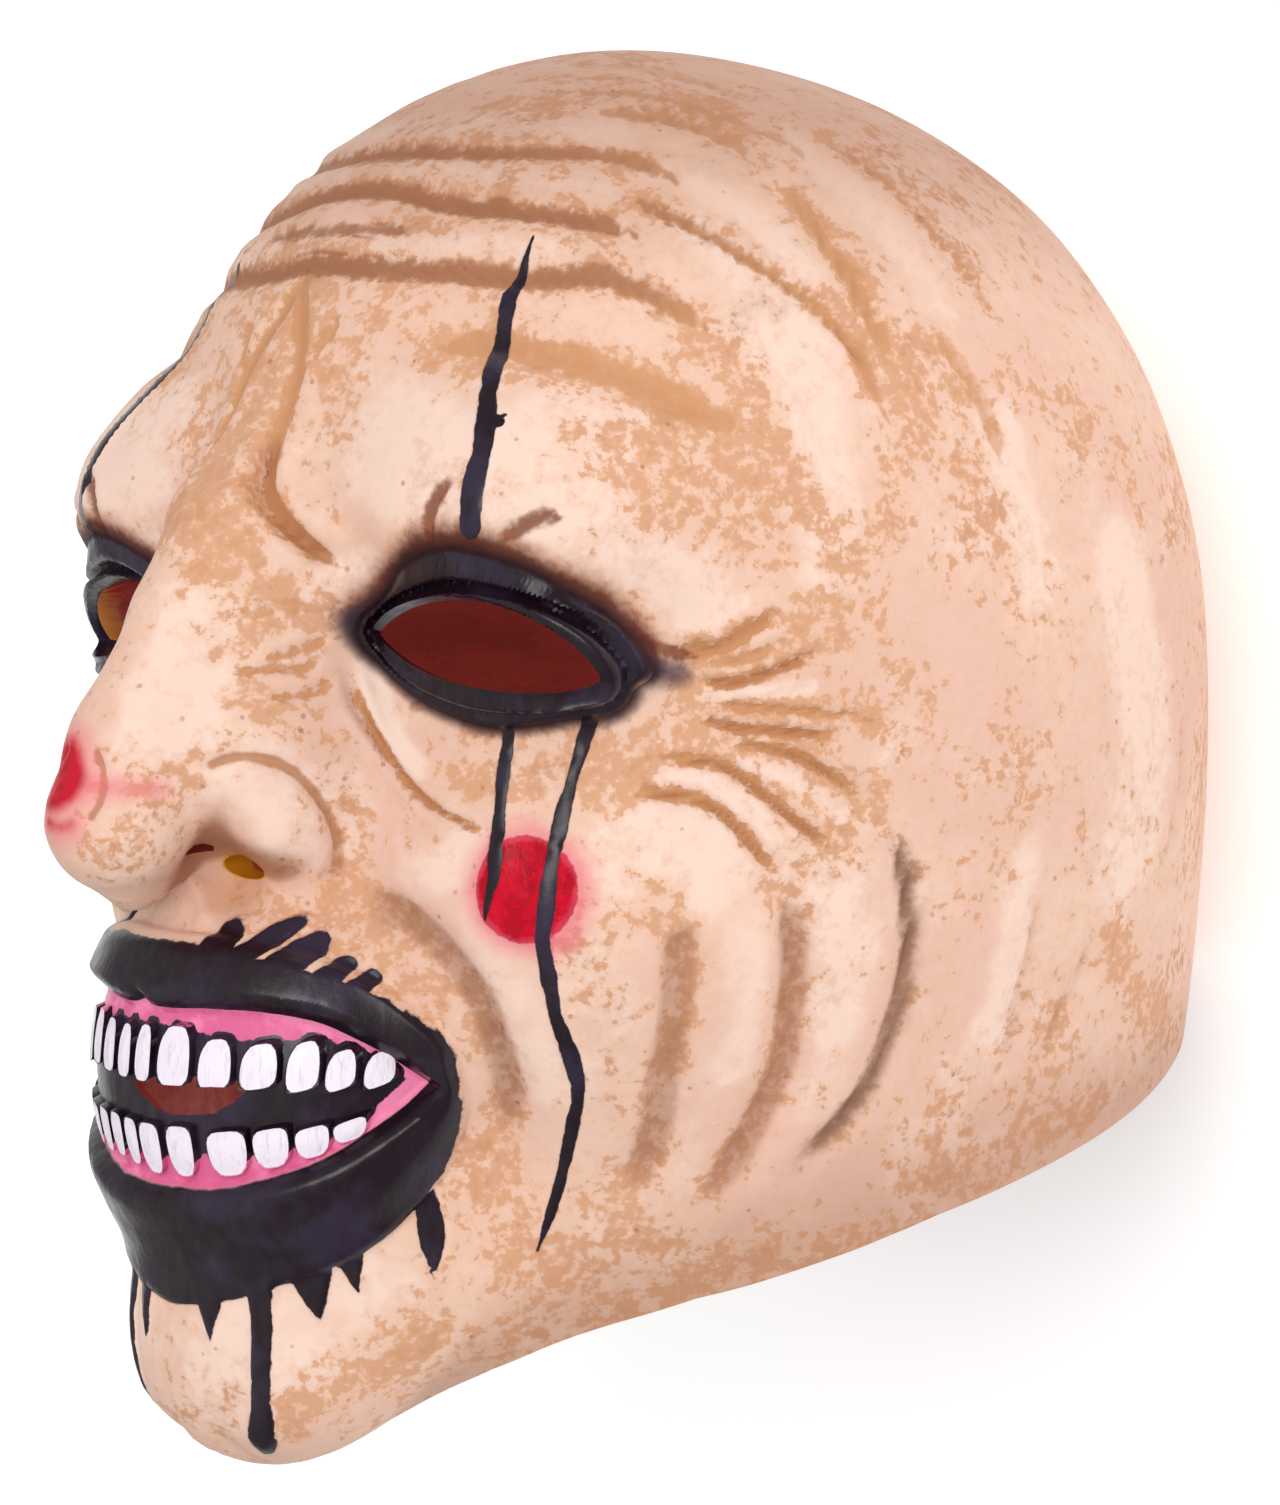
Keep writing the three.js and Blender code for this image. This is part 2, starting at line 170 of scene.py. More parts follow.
def smoothstep(value, low, high):
    share = np.clip((value - low) / (high - low), 0, 1)
    return share * share * (3 - 2 * share)


# Marks placed by angles

def curved(path, pieces=4):
    # a soft curve through the named points, by Catmull and Rom's rule
    points = np.array(path, float)
    if len(points) < 3:
        return points
    ends = np.vstack([2 * points[0] - points[1], points, 2 * points[-1] - points[-2]])
    made = []
    for i in range(1, len(ends) - 2):
        a, b, c, d = ends[i - 1], ends[i], ends[i + 1], ends[i + 2]
        for k in range(pieces):
            t = k / pieces
            cubic = 3 * b - a - 3 * c + d
            made.append(0.5 * (2 * b + (c - a) * t + (2 * a - 5 * b + 4 * c - d) * t**2 + cubic * t**3))
    made.append(ends[-2])
    return np.array(made)


def traceStroke(places, path, reach=22.0):
    # places are unit directions. Gives mm from the path, share of the way along, width, signed offset
    line = curved(path)
    spine = direction(line[:, 0], line[:, 1]) * ballRadius
    middle = spine.mean(axis=0)
    radius = np.linalg.norm(spine - middle, axis=1).max() + reach
    scaled = places * ballRadius
    near = np.linalg.norm(scaled - middle, axis=1) < radius
    found = np.zeros((4, len(places)))
    found[0] = 99.0
    if not near.any():
        return found
    points = scaled[near]
    best = np.full(len(points), 1e9)
    nearest = np.zeros((4, len(points)))
    widths = line[:, 2] if line.shape[1] > 2 else np.zeros(len(line))
    for i in range(len(spine) - 1):
        along = spine[i + 1] - spine[i]
        across = np.cross(along, spine[i])
        across /= max(np.linalg.norm(across), 1e-9)
        offset = points - spine[i]
        share = np.clip(offset @ along / max(along @ along, 1e-9), 0, 1)
        far = np.linalg.norm(offset - share[:, None] * along, axis=1)
        here = widths[i] + (widths[i + 1] - widths[i]) * share
        closer = far - here < best
        best[closer] = (far - here)[closer]
        reached = np.stack([far, (i + share) / (len(spine) - 1), here, offset @ across])
        nearest[:, closer] = reached[:, closer]
    found[:, near] = nearest
    return found


def strokeDistance(places, path, reach=22.0):
    return traceStroke(places, path, reach)[:3]


def nearestStroke(places, paths, bend):
    # of the nearest of several strokes: signed offset, half width, and mm past its end
    best = np.full(len(places), -99.0)
    marks = np.zeros((3, len(places)))
    marks[2] = 30.0
    for path in paths:
        distance, _, width, offset = traceStroke(places, path, 10.0)
        closer = width - distance > best
        best = np.where(closer, width - distance, best)
        past = np.sqrt(np.maximum(distance**2 - offset**2, 0))
        past = np.hypot(past, 2 * np.maximum(np.abs(offset) - bend, 0))
        marks = np.where(closer, np.stack([np.clip(offset, -20, 20), width, np.minimum(past, 30)]), marks)
    return marks


def lineDistance(points, line):
    # mm from a line of straight pieces in space
    best = np.full(len(points), 99.0)
    for start, end in zip(line[:-1], line[1:]):
        along = end - start
        offset = points - start
        share = np.clip(offset @ along / (along @ along), 0, 1)
        best = np.minimum(best, np.linalg.norm(offset - share[:, None] * along, axis=1))
    return best


def onForm(path):
    # a line through points in space, laid on the head
    line = curved(path)
    for again in range(3):
        line = line - headNormal(line) * headDistance(line)[:, None]
    return line


def outlineDistance(places, outline):
    # mm inside a closed outline of [side, rise] points, below zero outside it
    line = np.array(outline, float)
    spine = direction(line[:, 0], line[:, 1]) * ballRadius
    points = places * ballRadius
    best = np.full(len(points), 1e9)
    for start, end in zip(spine, np.roll(spine, -1, axis=0)):
        along = end - start
        offset = points - start
        share = np.clip(offset @ along / max(along @ along, 1e-9), 0, 1)
        best = np.minimum(best, np.linalg.norm(offset - share[:, None] * along, axis=1))
    side, rise = anglesOf(places)
    inside = np.zeros(len(points), bool)
    for (x0, y0), (x1, y1) in zip(line, np.roll(line, -1, axis=0)):
        crosses = (y0 > rise) != (y1 > rise)
        slope = (x1 - x0) / (y1 - y0 if abs(y1 - y0) > 1e-9 else 1e-9)
        inside ^= crosses & (side < (rise - y0) * slope + x0)
    return np.where(inside & (places[:, 2] > 0), best, -best)


def mirrored(points):
    # the wearer's right side turned onto the left
    return np.stack([np.abs(points[:, 0]), points[:, 1], points[:, 2]], axis=1)


eyeLook = {
    "inner": (15.2, 14.2),  # corners of the hole
    "outer": (37.4, 10.3),
    "topRise": 4.2,
    "bottomDrop": 2.75,
    "pointed": 1.35,  # 1 is a plain ellipse
    "lidHeight": 3.0,
    "flare": 9.0,  # growth of the hole towards the lining, in degrees
    "cutReach": 14.0,  # of the cutting solid above and below the skin, in mm
}


def eyeOutline(steps=72):
    turn = np.arange(steps) / steps * 2 * np.pi
    across, up = np.cos(turn), np.sin(turn)
    share = (1 - across) / 2
    side = eyeLook["outer"][0] * (1 - share) + eyeLook["inner"][0] * share
    rise = eyeLook["outer"][1] * (1 - share) + eyeLook["inner"][1] * share
    bulge = np.sign(up) * np.abs(up) ** eyeLook["pointed"]
    lift = np.where(up > 0, eyeLook["topRise"], eyeLook["bottomDrop"]) * bulge
    return np.stack([side, rise + lift], axis=1)


def lidWidth(side, rise):
    # width of the lid in mm beside a place, and whether that is above the eye
    (x0, y0), (x1, y1) = eyeLook["inner"], eyeLook["outer"]
    along = np.clip((side - x0) / (x1 - x0), 0, 1)
    above = smoothstep(rise - y0 - (y1 - y0) * along, -0.6, 1.2)
    width = 2.6 + 3.6 * smoothstep(along, -0.2, 0.5) + 0.8 * smoothstep(along, 0.85, 1)
    lower = 0.9 * smoothstep(along, 0.1, 0.4) + 2.2 * smoothstep(along, 0.5, 0.92)
    return width - lower * (1 - above), above


mouthLook = {
    "outerTop": [(0, -10.8), (5, -10.9), (8.5, -11.6), (11.2, -12.2), (14.8, -13.6), (18.2, -15.4),
                 (20.6, -17.1), (22.6, -18.7)],
    "outerBottom": [(23.9, -20.3), (24.2, -23), (24.0, -26.1), (22.8, -29.2), (21.2, -31.0),
                    (18.4, -32.9), (15.1, -33.8),
                    (12.1, -34.1), (9.2, -34.2), (4.6, -34.5), (0, -34.8)],
    "innerTop": [(0, -14.6), (1.7, -15.0), (6.0, -15.0), (10.2, -15.4), (13.8, -16.5), (16.4, -18.2),
                 (19.0, -20.5), (21.8, -23.4)],
    "innerBottom": [(19.8, -24.8), (17.5, -25.6), (14.9, -26.3), (11.5, -26.7), (7.7, -27.0),
                    (3.1, -27.1), (0, -27.1)],
    "darkTop": [(0, -16.3), (3, -16.3), (6.1, -16.8), (9.9, -17.4), (13.2, -17.8), (16, -19.1),
                (18.4, -20.8), (19.8, -22.9)],
    "darkBottom": [(18.2, -24.0), (15.8, -24.6), (12.6, -24.8), (8.7, -24.9), (5.1, -24.8),
                   (1.2, -24.7), (0, -24.6)],
    "gumDepth": 1.3,
    "gap": [(-0.3, -20.2), (0.6, -20.9), (2.0, -21.4), (3.7, -21.7), (5.5, -21.7), (7.1, -21.6),
            (8.4, -21.1),
            (9.3, -20.5), (9.3, -20.1), (7.4, -20.0), (4.6, -19.9),
            (2.1, -19.9)],  # breathing gap between the rows
    "gapFlare": 5.0,
    "gapReach": 12.0,
}


def mouthLine(kind):
    top, bottom = curved(mouthLook[kind + "Top"], 3), curved(mouthLook[kind + "Bottom"], 3)
    half = top.tolist() + bottom.tolist()
    other = [(-side, rise) for side, rise in reversed(half[1:-1])]
    return half + other


teethLook = {
    "upper": [  # side, rise, width, height in degrees
        [-17.4, -21.0, 1.8, 2.2], [-14.9, -20.3, 2.1, 2.7], [-12.1, -19.5, 2.3, 3.1],
        [-9.2, -18.7, 2.4, 3.4],
        [-6.4, -18.2, 2.1, 3.5], [-3.8, -18.2, 1.9, 3.4], [-1.4, -18.2, 1.6, 3.4], [0.9, -18.1, 1.7, 3.6],
        [4.0, -18.1, 3.0, 3.8], [7.5, -18.6, 2.6, 3.2], [10.7, -19.0, 2.6, 2.9], [13.6, -19.5, 2.1, 3.2],
        [15.9, -20.4, 1.8, 2.6], [18.2, -21.2, 1.9, 2.4],
    ],
    "lower": [
        [-16.2, -24.5, 2.0, 1.6], [-13.7, -24.6, 2.2, 2.1], [-10.9, -24.6, 2.4, 2.6],
        [-8.0, -24.5, 2.4, 2.9],
        [-5.3, -24.2, 2.0, 3.1], [-3.0, -24.0, 1.7, 3.1], [-0.9, -24.1, 1.6, 3.3], [1.3, -24.3, 2.2, 3.6],
        [4.3, -24.3, 2.4, 3.6], [8.2, -24.5, 3.1, 3.2], [11.4, -24.5, 2.5, 2.8], [14.1, -24.7, 2.2, 2.2],
        [16.4, -24.7, 2.0, 1.5],
    ],
    "height": 1.2,
    "root": 2.6,
}

noseLook = {  # lines in space, mm from the head's middle
    "wingCrease": [[15.7, 5.7, 128.5], [18.3, 7, 125.3], [21, 6.4, 121.2], [22.8, 4.6, 117.4],
                   [24.2, 1, 113.3],
                   [25, -3.3, 110.5], [25, -8.5, 108.8], [24, -13.6, 109.3]],
    "tipCrease": [[4.2, 8.1, 143.7], [5.7, 6.1, 143.6], [6.9, 3.7, 143.9], [7.5, 0.6, 144.9],
                  [6.7, -2.3, 146.4]],
    "basin": [[8.6, -15.8, 118.9], [10.4, -15.4, 118.8]],
    "lipRidge": [[0.6, -11.5, 121.5], [1.6, -15, 120.5], [3.4, -18.5, 121.2], [5.8, -21.4, 122.4]],
    "red": [[-3.2, 5.2, 145.9], [-1.2, 3.4, 146.9]],
    "redLow": [[-2.5, -3.6, 148.2], [1.0, -4.2, 148.3], [3.4, -3.8, 147.8]],
    "pink": [[4.4, 3, 145.8], [7, 2.9, 144.1], [10.3, 2.3, 140.6], [12.1, 1.9, 136]],
    "columella": [[0, -15, 134], [0, -14.5, 128], [0, -14, 122.5], [0.4, -16.5, 120.5]],
    "nostril": [(10.0, -12.8, 116.4), (5.0, 2.2, 7.6)],  # centre; half sizes across, up and inward
    "nostrilTurn": 12.0,
}


def noseMark(points, name, width, laid=False):
    # 1 on a line of the nose, less with the distance from it
    line = onForm(noseLook[name]) if laid else curved(noseLook[name])
    return np.exp(-((lineDistance(points, line) / width) ** 2))


foldLook = {  # path, half width in mm, depth in mm, strength of the paint in it
    "forehead": [
        [[[-18, 44.4], [5, 43.2], [18, 43], [25, 42.8], [31, 43.1], [36, 43.2], [40.4, 42.2],
          [43.7, 41], [46.5, 39.5]], 2.2, 1.1, 1.0],
        [[[-15, 46.2], [-1.4, 46.5], [6.5, 46.6], [13, 46.6]], 1.1, 0.6, 0.9],
        [[[-23, 49.7], [-10, 50.2], [0.5, 50.7], [7.3, 50.4], [16, 49.2], [24, 48.8], [31, 48.5],
          [35, 48], [39.4, 46.9]], 2.0, 1.2, 0.95],
        [[[-14, 55.4], [1, 54.9], [9, 54.7], [20, 54.8], [28, 55.3], [35, 55.2], [40, 54.2],
          [43.5, 52.8]], 1.8, 1.0, 1.0],
        [[[36.4, 50.8], [40.4, 50.1], [44.2, 48.9], [48, 47.6], [51.6, 46.2], [55.7, 44.3],
          [59.2, 42.3], [62, 39.8], [64, 36.7],
          [65.4, 33.6]], 1.4, 1.1, 1.0],
        [[[28.7, 60.8], [38, 61], [44.8, 60.4], [49.7, 59.2], [54.3, 57.8]], 1.7, 0.9, 0.9],
        [[[20, 63.6], [30, 64.3], [40, 64.1], [47.5, 62.9], [54.5, 61.6], [60.4, 60.3],
          [63, 57.9]], 1.3, 0.7, 0.75],
        [[[55.9, 55.1], [59.2, 53.2], [60.8, 50.1], [62.6, 47.7], [64.2, 44.8], [65.8, 41.6],
          [66.5, 38.8]], 2.2, 1.0, 0.9],
        [[[66, 63.2], [71, 60.6], [75.4, 58], [78.4, 55.5], [81, 52.6], [83.7, 49.5], [85.2, 46.6],
          [86, 43.6]], 1.3, 0.8, 0.8],
        [[[74.5, 42.6], [76.2, 39.9], [78.1, 37.2], [79.5, 34.3], [80.5, 31]], 2.1, 0.7, 0.75],
        [[[20, 36.3], [24.5, 36.8], [29, 36.4], [34.3, 35.4], [38.8, 34.4], [43.3, 33.2], [47, 32.3],
          [49.5, 31.5]], 2.9, 0.8, 0.85],
        [[[12, 70], [29, 70.5], [46, 69], [58, 66]], 2.0, 0.5, 0.4],
    ],
    "brow": [
        [[[-0.4, 42.6], [2.0, 38.6], [3.6, 35.4], [4.0, 31.3], [4.2, 28.4], [5.2, 25.1]], 1.5, 1.0, 0.8],
        [[[3.8, 30], [4.2, 26.6], [5.4, 23.8], [7.5, 21.8], [10, 20.2], [12.8, 18.9]], 1.5, 2.4, 0.9],
        [[[7.3, 39.5], [6.3, 37.2], [5.2, 35]], 1.0, 0.5, 0.8],
        [[[6.8, 9.4], [8.8, 10.1], [10.4, 10.4], [11.5, 11.9]], 0.75, 0.9, 0.9],
        [[[8.4, 10.8], [10.2, 11.8], [11.6, 13.3]], 0.75, 0.9, 0.9],
        [[[9.3, 7.8], [10.9, 8.4], [12.4, 9.4]], 0.75, 0.8, 0.9],
        [[[6.2, 13.5], [8.5, 15], [11, 15.4]], 0.9, 0.5, 0.6],
    ],
    "eye": [
        [[[43.1, 13.7], [46, 13.5], [48.5, 14.5], [51.1, 16], [52.8, 17.2]], 1.2, 1.1, 1.0],
        [[[45.1, 10.9], [48.5, 10.7], [52, 11.6], [55.1, 12.8], [57.2, 14]], 1.1, 1.3, 1.0],
        [[[44.7, 12.4], [48.1, 12.5], [51, 13.4], [53.4, 14.8]], 0.7, 0.6, 0.6],
        [[[45.1, 7.8], [47.7, 6.8], [51.6, 6.3], [55.6, 6.0], [59.2, 5.8]], 1.1, 1.3, 1.0],
        [[[46.4, 8.6], [50.3, 8.5], [54.7, 8.1], [59.3, 7.7], [64.2, 7.2]], 0.8, 0.8, 0.9],
        [[[48.1, 5.0], [51.1, 4.9], [54.3, 4.0], [57.1, 2.7], [60.4, 0.7], [64, -1.5]], 1.1, 1.2, 1.0],
        [[[40.7, 4.3], [43.9, 3.8], [47.2, 3.2], [49.8, 1.7], [52.4, -0.5], [55.2, -2.7], [57.6, -4.6],
          [60.1, -6.1]], 1.2, 1.3, 1.0],
        [[[39.2, 1], [41.9, 0.8], [44.7, 0.3], [47.2, -1], [49.3, -3.1], [51.5, -5.7],
          [53.4, -8]], 1.2, 1.4, 1.0],
        [[[12.9, 11.2], [13.9, 7.9], [15.6, 4.8], [18, 1.7], [21.6, -0.7], [25.5, -2.1],
          [28, -2.6]], 0.8, 1.3, 1.0],
        [[[30.6, 2.8], [32.9, 3.5], [34.6, 4.5]], 0.8, 0.5, 0.5],
    ],
    "lash": [
        [[[23.2, 19.6], [23.4, 21.3], [24.2, 23.0], [25.6, 24.6]], 1.1, 0.9, 1.0],
        [[[29.6, 20.0], [31.4, 20.9], [33.3, 21.6], [34.8, 21.8]], 1.0, 0.8, 1.0],
        [[[39.5, 14.6], [42, 13.4], [45.2, 13.0]], 1.0, 0.6, 1.0],
    ],
    "jaw": [
        [[[53.4, -8], [54.3, -12], [54.7, -16.5], [54.4, -20.8], [53.9, -25.2], [52.1, -29.2],
          [49.9, -32.7], [47.1, -36.1], [43.5, -39]], 3.1, 2.1, 0.45],
        [[[43.2, -10], [43.7, -12.2], [43.5, -16.3], [42.9, -20.5], [41.9, -25], [41.2, -29.7],
          [39.4, -34], [36.5, -38]], 3.3, 2.0, 0.4],
        [[[64.4, -3.2], [66.2, -6.5], [67.3, -11.3], [67.6, -15.9], [67.1, -20.4], [65.8, -24.7],
          [64.2, -28.5], [61, -31.8], [57, -34.6],
          [52, -37.2]], 2.1, 1.7, 0.95],
        [[[85.2, -10.5], [84.9, -17.8], [83.6, -24.7], [82.4, -31.5]], 3.0, 0.9, 0.3],
        [[[96.4, -16.4], [92.6, -23.3], [90.2, -27.7], [88.4, -32.1]], 3.0, 0.9, 0.3],
        [[[112.7, 6.8], [111.5, -5.5], [106.2, -15.5]], 2.4, 0.7, 0.2],
        [[[13.3, -8.6], [18.6, -9.8], [23.1, -12.2], [26.2, -16], [27.6, -21], [27.6, -26.5],
          [25.5, -32]], 3.2, 1.9, 0.5],
        [[[2.5, -41.5], [4, -43.6], [3.6, -46]], 1.8, 0.9, 0.1],
    ],
}

paintLook = {
    "left": [  # strokes of black paint: [side, rise, half width in mm]
        [[27.4, 20.9, 1.7], [27.6, 24, 1.8], [27.8, 26, 1.5], [27.6, 28.5, 1.7], [26.9, 31.6, 1.4],
         [26.5, 35, 1.55],
         [26.3, 38, 1.2], [26.2, 40.7, 1.25], [26.7, 43.1, 0.8], [27.4, 46.4, 0.1]],
        [[28.2, 28.7, 1.05], [28.7, 28.8, 0.9]],
        [[28.9, 8.2, 1.3], [28.7, 5, 1.1], [28.5, 2, 1.3], [28.5, 0, 1.0], [28.5, -3, 1.35],
         [28.4, -5.5, 1.15],
         [28.0, -7.6, 0.7], [27.7, -9.4, 0.1]],
        [[36.8, 9.4, 1.5], [35.4, 5.5, 1.3], [34.5, 2, 1.0], [33.9, -1, 1.45], [33.3, -4.5, 1.15],
         [32.9, -8, 1.5],
         [32.6, -11, 1.2], [32.9, -13.6, 1.4], [33.2, -16.9, 1.1], [34, -20.5, 1.5], [34.5, -23.8, 1.3],
         [34.1, -26.3, 1.0], [33.3, -28.7, 1.25], [31.9, -33, 0.95], [30.2, -36.8, 0.8], [28.9, -39, 0.1]],
    ],
    "right": [
        [[-26.4, 20.9, 1.7], [-25.6, 24, 1.4], [-24.6, 28, 1.7], [-23.2, 32, 1.3], [-21.6, 36, 1.3],
         [-20, 39.4, 1.1],
         [-18.4, 42.4, 0.8], [-18.0, 45.6, 0.1]],
        [[-29.2, 8.2, 1.3], [-28.6, 4.4, 1.1], [-28.9, 0.6, 1.4], [-28.2, -3.4, 1.1],
         [-28.4, -7.4, 0.6], [-28.2, -9.6, 0.1]],
        [[-36.4, 9.4, 1.4], [-35, 5, 1.1], [-34.2, 0.6, 1.4], [-33.2, -4.4, 1.2], [-33.3, -9, 1.45],
         [-32.8, -14, 1.1],
         [-33.6, -19, 1.4], [-34, -24, 1.0], [-32.8, -30, 1.1], [-30.8, -35.6, 0.7], [-30, -38.4, 0.1]],
    ],
    "drips": [
        [[4.0, -33.2, 3.0], [4.3, -34.6, 1.7], [4.5, -36.3, 0.15]],
        [[8.3, -33.4, 2.0], [8.7, -35, 1.5], [8.8, -37.2, 1.35], [8.4, -40, 1.3], [7.4, -42.4, 1.75],
         [7.0, -43.4, 1.2]],
        [[12.2, -32.8, 3.4], [12.5, -34.8, 1.9], [12.8, -36.9, 0.15]],
        [[15.0, -32.6, 2.6], [15.2, -34.2, 1.4], [15.5, -36.2, 0.15]],
        [[20.3, -30.8, 1.1], [20.7, -32.4, 1.5], [21.1, -34.2, 1.75], [21.2, -35.5, 1.1], [21, -37, 0.2]],
        [[-4.0, -33.8, 1.6], [-3.6, -35.4, 1.1], [-3.4, -36.9, 0.3]],
        [[-6.6, -33.8, 1.4], [-7.0, -36.5, 1.0], [-6.8, -39.0, 0.8], [-6.4, -41.8, 0.2]],
        [[-11.6, -33.4, 2.0], [-11.9, -35, 1.3], [-12, -37.4, 0.2]],
        [[-16.6, -32.8, 1.9], [-17, -34.6, 1.2], [-17.2, -36, 0.2]],
        [[-20.8, -31, 1.6], [-21, -33, 1.7], [-21.4, -35.2, 0.5]],
    ],
    "spikes": [
        [[6.4, -11.6, 2.6], [6.0, -10.9, 2.3], [5.5, -10.5, 1.4]],
        [[8.3, -11.8, 1.8], [9.3, -11.1, 1.9], [10.2, -10.6, 1.5], [10.8, -10.3, 0.9]],
        [[11.6, -12.6, 2.8], [12.4, -12.1, 2.4]],
        [[14.6, -13.9, 2.2], [15.1, -13.6, 1.8]],
        [[16.8, -14.9, 2.0], [17.2, -14.6, 1.6]],
        [[-10.6, -12.6, 1.9], [-9.6, -11.3, 1.3], [-8.4, -10.1, 0.3]],
        [[-14, -13.8, 1.9], [-13.2, -12.4, 1.4], [-12, -11.6, 0.9]],
        [[-17.4, -15.4, 1.8], [-18.2, -14.4, 1.2]],
    ],
    "disc": [31.1, -6.8, 9.6],  # side, rise, radius in mm
    "eyeCorners": [  # grey haze: path, half width in mm, strength
        [[[13.4, 14.6], [14.6, 13.2]], 3.6, 0.9],
        [[[40.5, 11.2], [43.4, 11.4]], 3.2, 0.8],
    ],
}

washLook = [  # sponged tan wash: path, half width in mm, strength
    [[[-4, 44], [6, 44], [15, 43.5]], 2.6, 0.95],
    [[[17, 43], [31, 43], [40, 42], [44, 41]], 2.4, 0.8],
    [[[-15, 49], [-2, 50.5], [11, 50.5], [23, 49.5], [33, 48]], 2.6, 0.85],
    [[[-13, 55], [2, 55], [22, 55.5], [31, 55], [35, 54]], 2.6, 0.95],
    [[[11, 51.5], [28, 52], [34, 51]], 2.4, 0.6],
    [[[11, 46], [20, 46.5], [30, 46]], 3.6, 0.7],
    [[[11, 60], [23, 61], [36, 63], [49, 64]], 3.0, 0.65],
    [[[25, 58], [40, 61], [52, 61], [59, 58]], 1.8, 0.75],
    [[[13, 66], [28, 67], [46, 68]], 2.6, 0.55],
    [[[-8, 72], [12, 73], [30, 74]], 4.0, 0.35],
    [[[36, 51], [46, 49], [54, 46], [62, 42], [64, 37]], 2.0, 0.9],
    [[[56, 55], [61, 51], [64, 47], [66, 42], [68, 37], [69, 32]], 3.0, 0.85],
    [[[68, 62], [79, 55], [85, 49], [85, 43]], 2.0, 0.65],
    [[[5, 39], [14, 40], [23, 39]], 3.4, 0.6],
    [[[20, 36.5], [28, 36], [34, 35], [40, 34], [45, 32], [49, 31]], 4.0, 0.95],
    [[[44, 38], [47, 37], [50, 35]], 3.0, 0.7],
    [[[8, 36], [11, 32], [12.6, 28.6]], 3.6, 0.6],
    [[[36, 27], [42, 27], [48, 27], [53, 29]], 5.0, 0.75],
    [[[41, 23], [47, 26], [52, 25]], 3.6, 0.7],
    [[[49, 23], [54, 21]], 3.0, 0.6],
    [[[54, 29], [58, 24], [58, 19], [56, 15], [53, 13]], 3.4, 0.85],
    [[[45, 14], [50, 16], [55, 18]], 2.2, 0.75],
    [[[45, 12], [51, 13], [58, 14]], 3.0, 0.9],
    [[[44, 9.5], [53, 8], [63, 8]], 2.6, 0.9],
    [[[41, 5], [48, 5], [55, 4], [63, -1]], 3.0, 0.9],
    [[[33, 4.6], [37, 3.4], [40, 2]], 3.8, 0.85],
    [[[53, 0], [57, -2], [58, -4]], 2.6, 0.65],
    [[[67, 30], [64, 25], [62, 21]], 3.0, 0.55],
    [[[73, 42], [76, 38], [79, 35]], 3.0, 0.65],
    [[[85, 40], [93, 37], [101, 33], [102, 27]], 4.0, 0.5],
    [[[74, 31], [79, 26], [79, 20]], 3.2, 0.45],
    [[[61, 18], [65, 14], [69, 9]], 3.0, 0.4],
    [[[6, 12], [7, 14], [10, 16], [12, 15]], 3.0, 0.9],
    [[[4, 17], [5, 20], [6, 22]], 3.0, 0.9],
    [[[3, 22], [0, 26], [1, 31], [2, 36], [1.5, 40]], 6.0, 1.0],
    [[[0.6, 20.5], [2, 21], [4.6, 22]], 2.2, 0.7],
    [[[8, 8], [10, 6], [12, 3]], 2.8, 0.6],
    [[[7, 2], [9, 2.4], [11, 1]], 2.6, 0.65],
    [[[12, 0], [13.4, -4], [12, -7.6]], 2.6, 0.65],
    [[[13, -8], [16, -11], [19, -13]], 4.6, 0.8],
    [[[19, -14], [23, -17], [25, -20]], 2.6, 0.7],
    [[[9, -8.6], [13, -9.4]], 2.4, 0.5],
    [[[37, -3], [40, -4]], 2.8, 0.5],
    [[[42, -8], [45, -13], [45, -18], [43, -23]], 3.4, 0.6],
    [[[24, 5.6], [28, 6], [33, 5]], 2.6, 0.6],
    [[[22, 3.4], [27, 1.6], [32, 2.4]], 3.0, 0.6],
    [[[36, 1], [37.6, -2.6]], 2.6, 0.8],
    [[[26, -28], [26, -34], [28, -38]], 4.2, 0.65],
    [[[29, -39], [34, -45]], 4.2, 0.6],
    [[[28, -53], [34, -50], [38, -48]], 3.4, 0.75],
    [[[44, -45], [53, -44], [64, -45], [80, -45]], 3.6, 0.8],
    [[[40, -24], [37, -34], [39, -40]], 3.2, 0.5],
    [[[53, -19], [52, -27], [48, -34]], 3.2, 0.55],
    [[[67, -16], [66, -26], [62, -34]], 3.0, 0.45],
    [[[49, -5], [52, -9]], 2.8, 0.5],
    [[[10.5, -41.4], [14, -40], [18.5, -41]], 3.2, 0.95],
    [[[18, -45], [23, -44], [28, -44]], 3.4, 0.4],
    [[[99, -20], [108, -25], [116, -29]], 4.6, 0.75],
    [[[89, -25], [92, -30], [87, -35]], 3.6, 0.55],
    [[[97, 1], [106, -10], [100, -16]], 4.0, 0.45],
    [[[78, 9], [81, -2], [79, -12]], 3.4, 0.4],
    [[[74, -39], [82, -40], [91, -37], [100, -35]], 3.4, 0.65],
    [[[120, 30], [128, 12], [126, -8]], 7.0, 0.4],
    [[[150, 40], [160, 15], [155, -10]], 8.0, 0.35],
    [[[110, 60], [140, 62], [170, 60]], 6.0, 0.35],
]


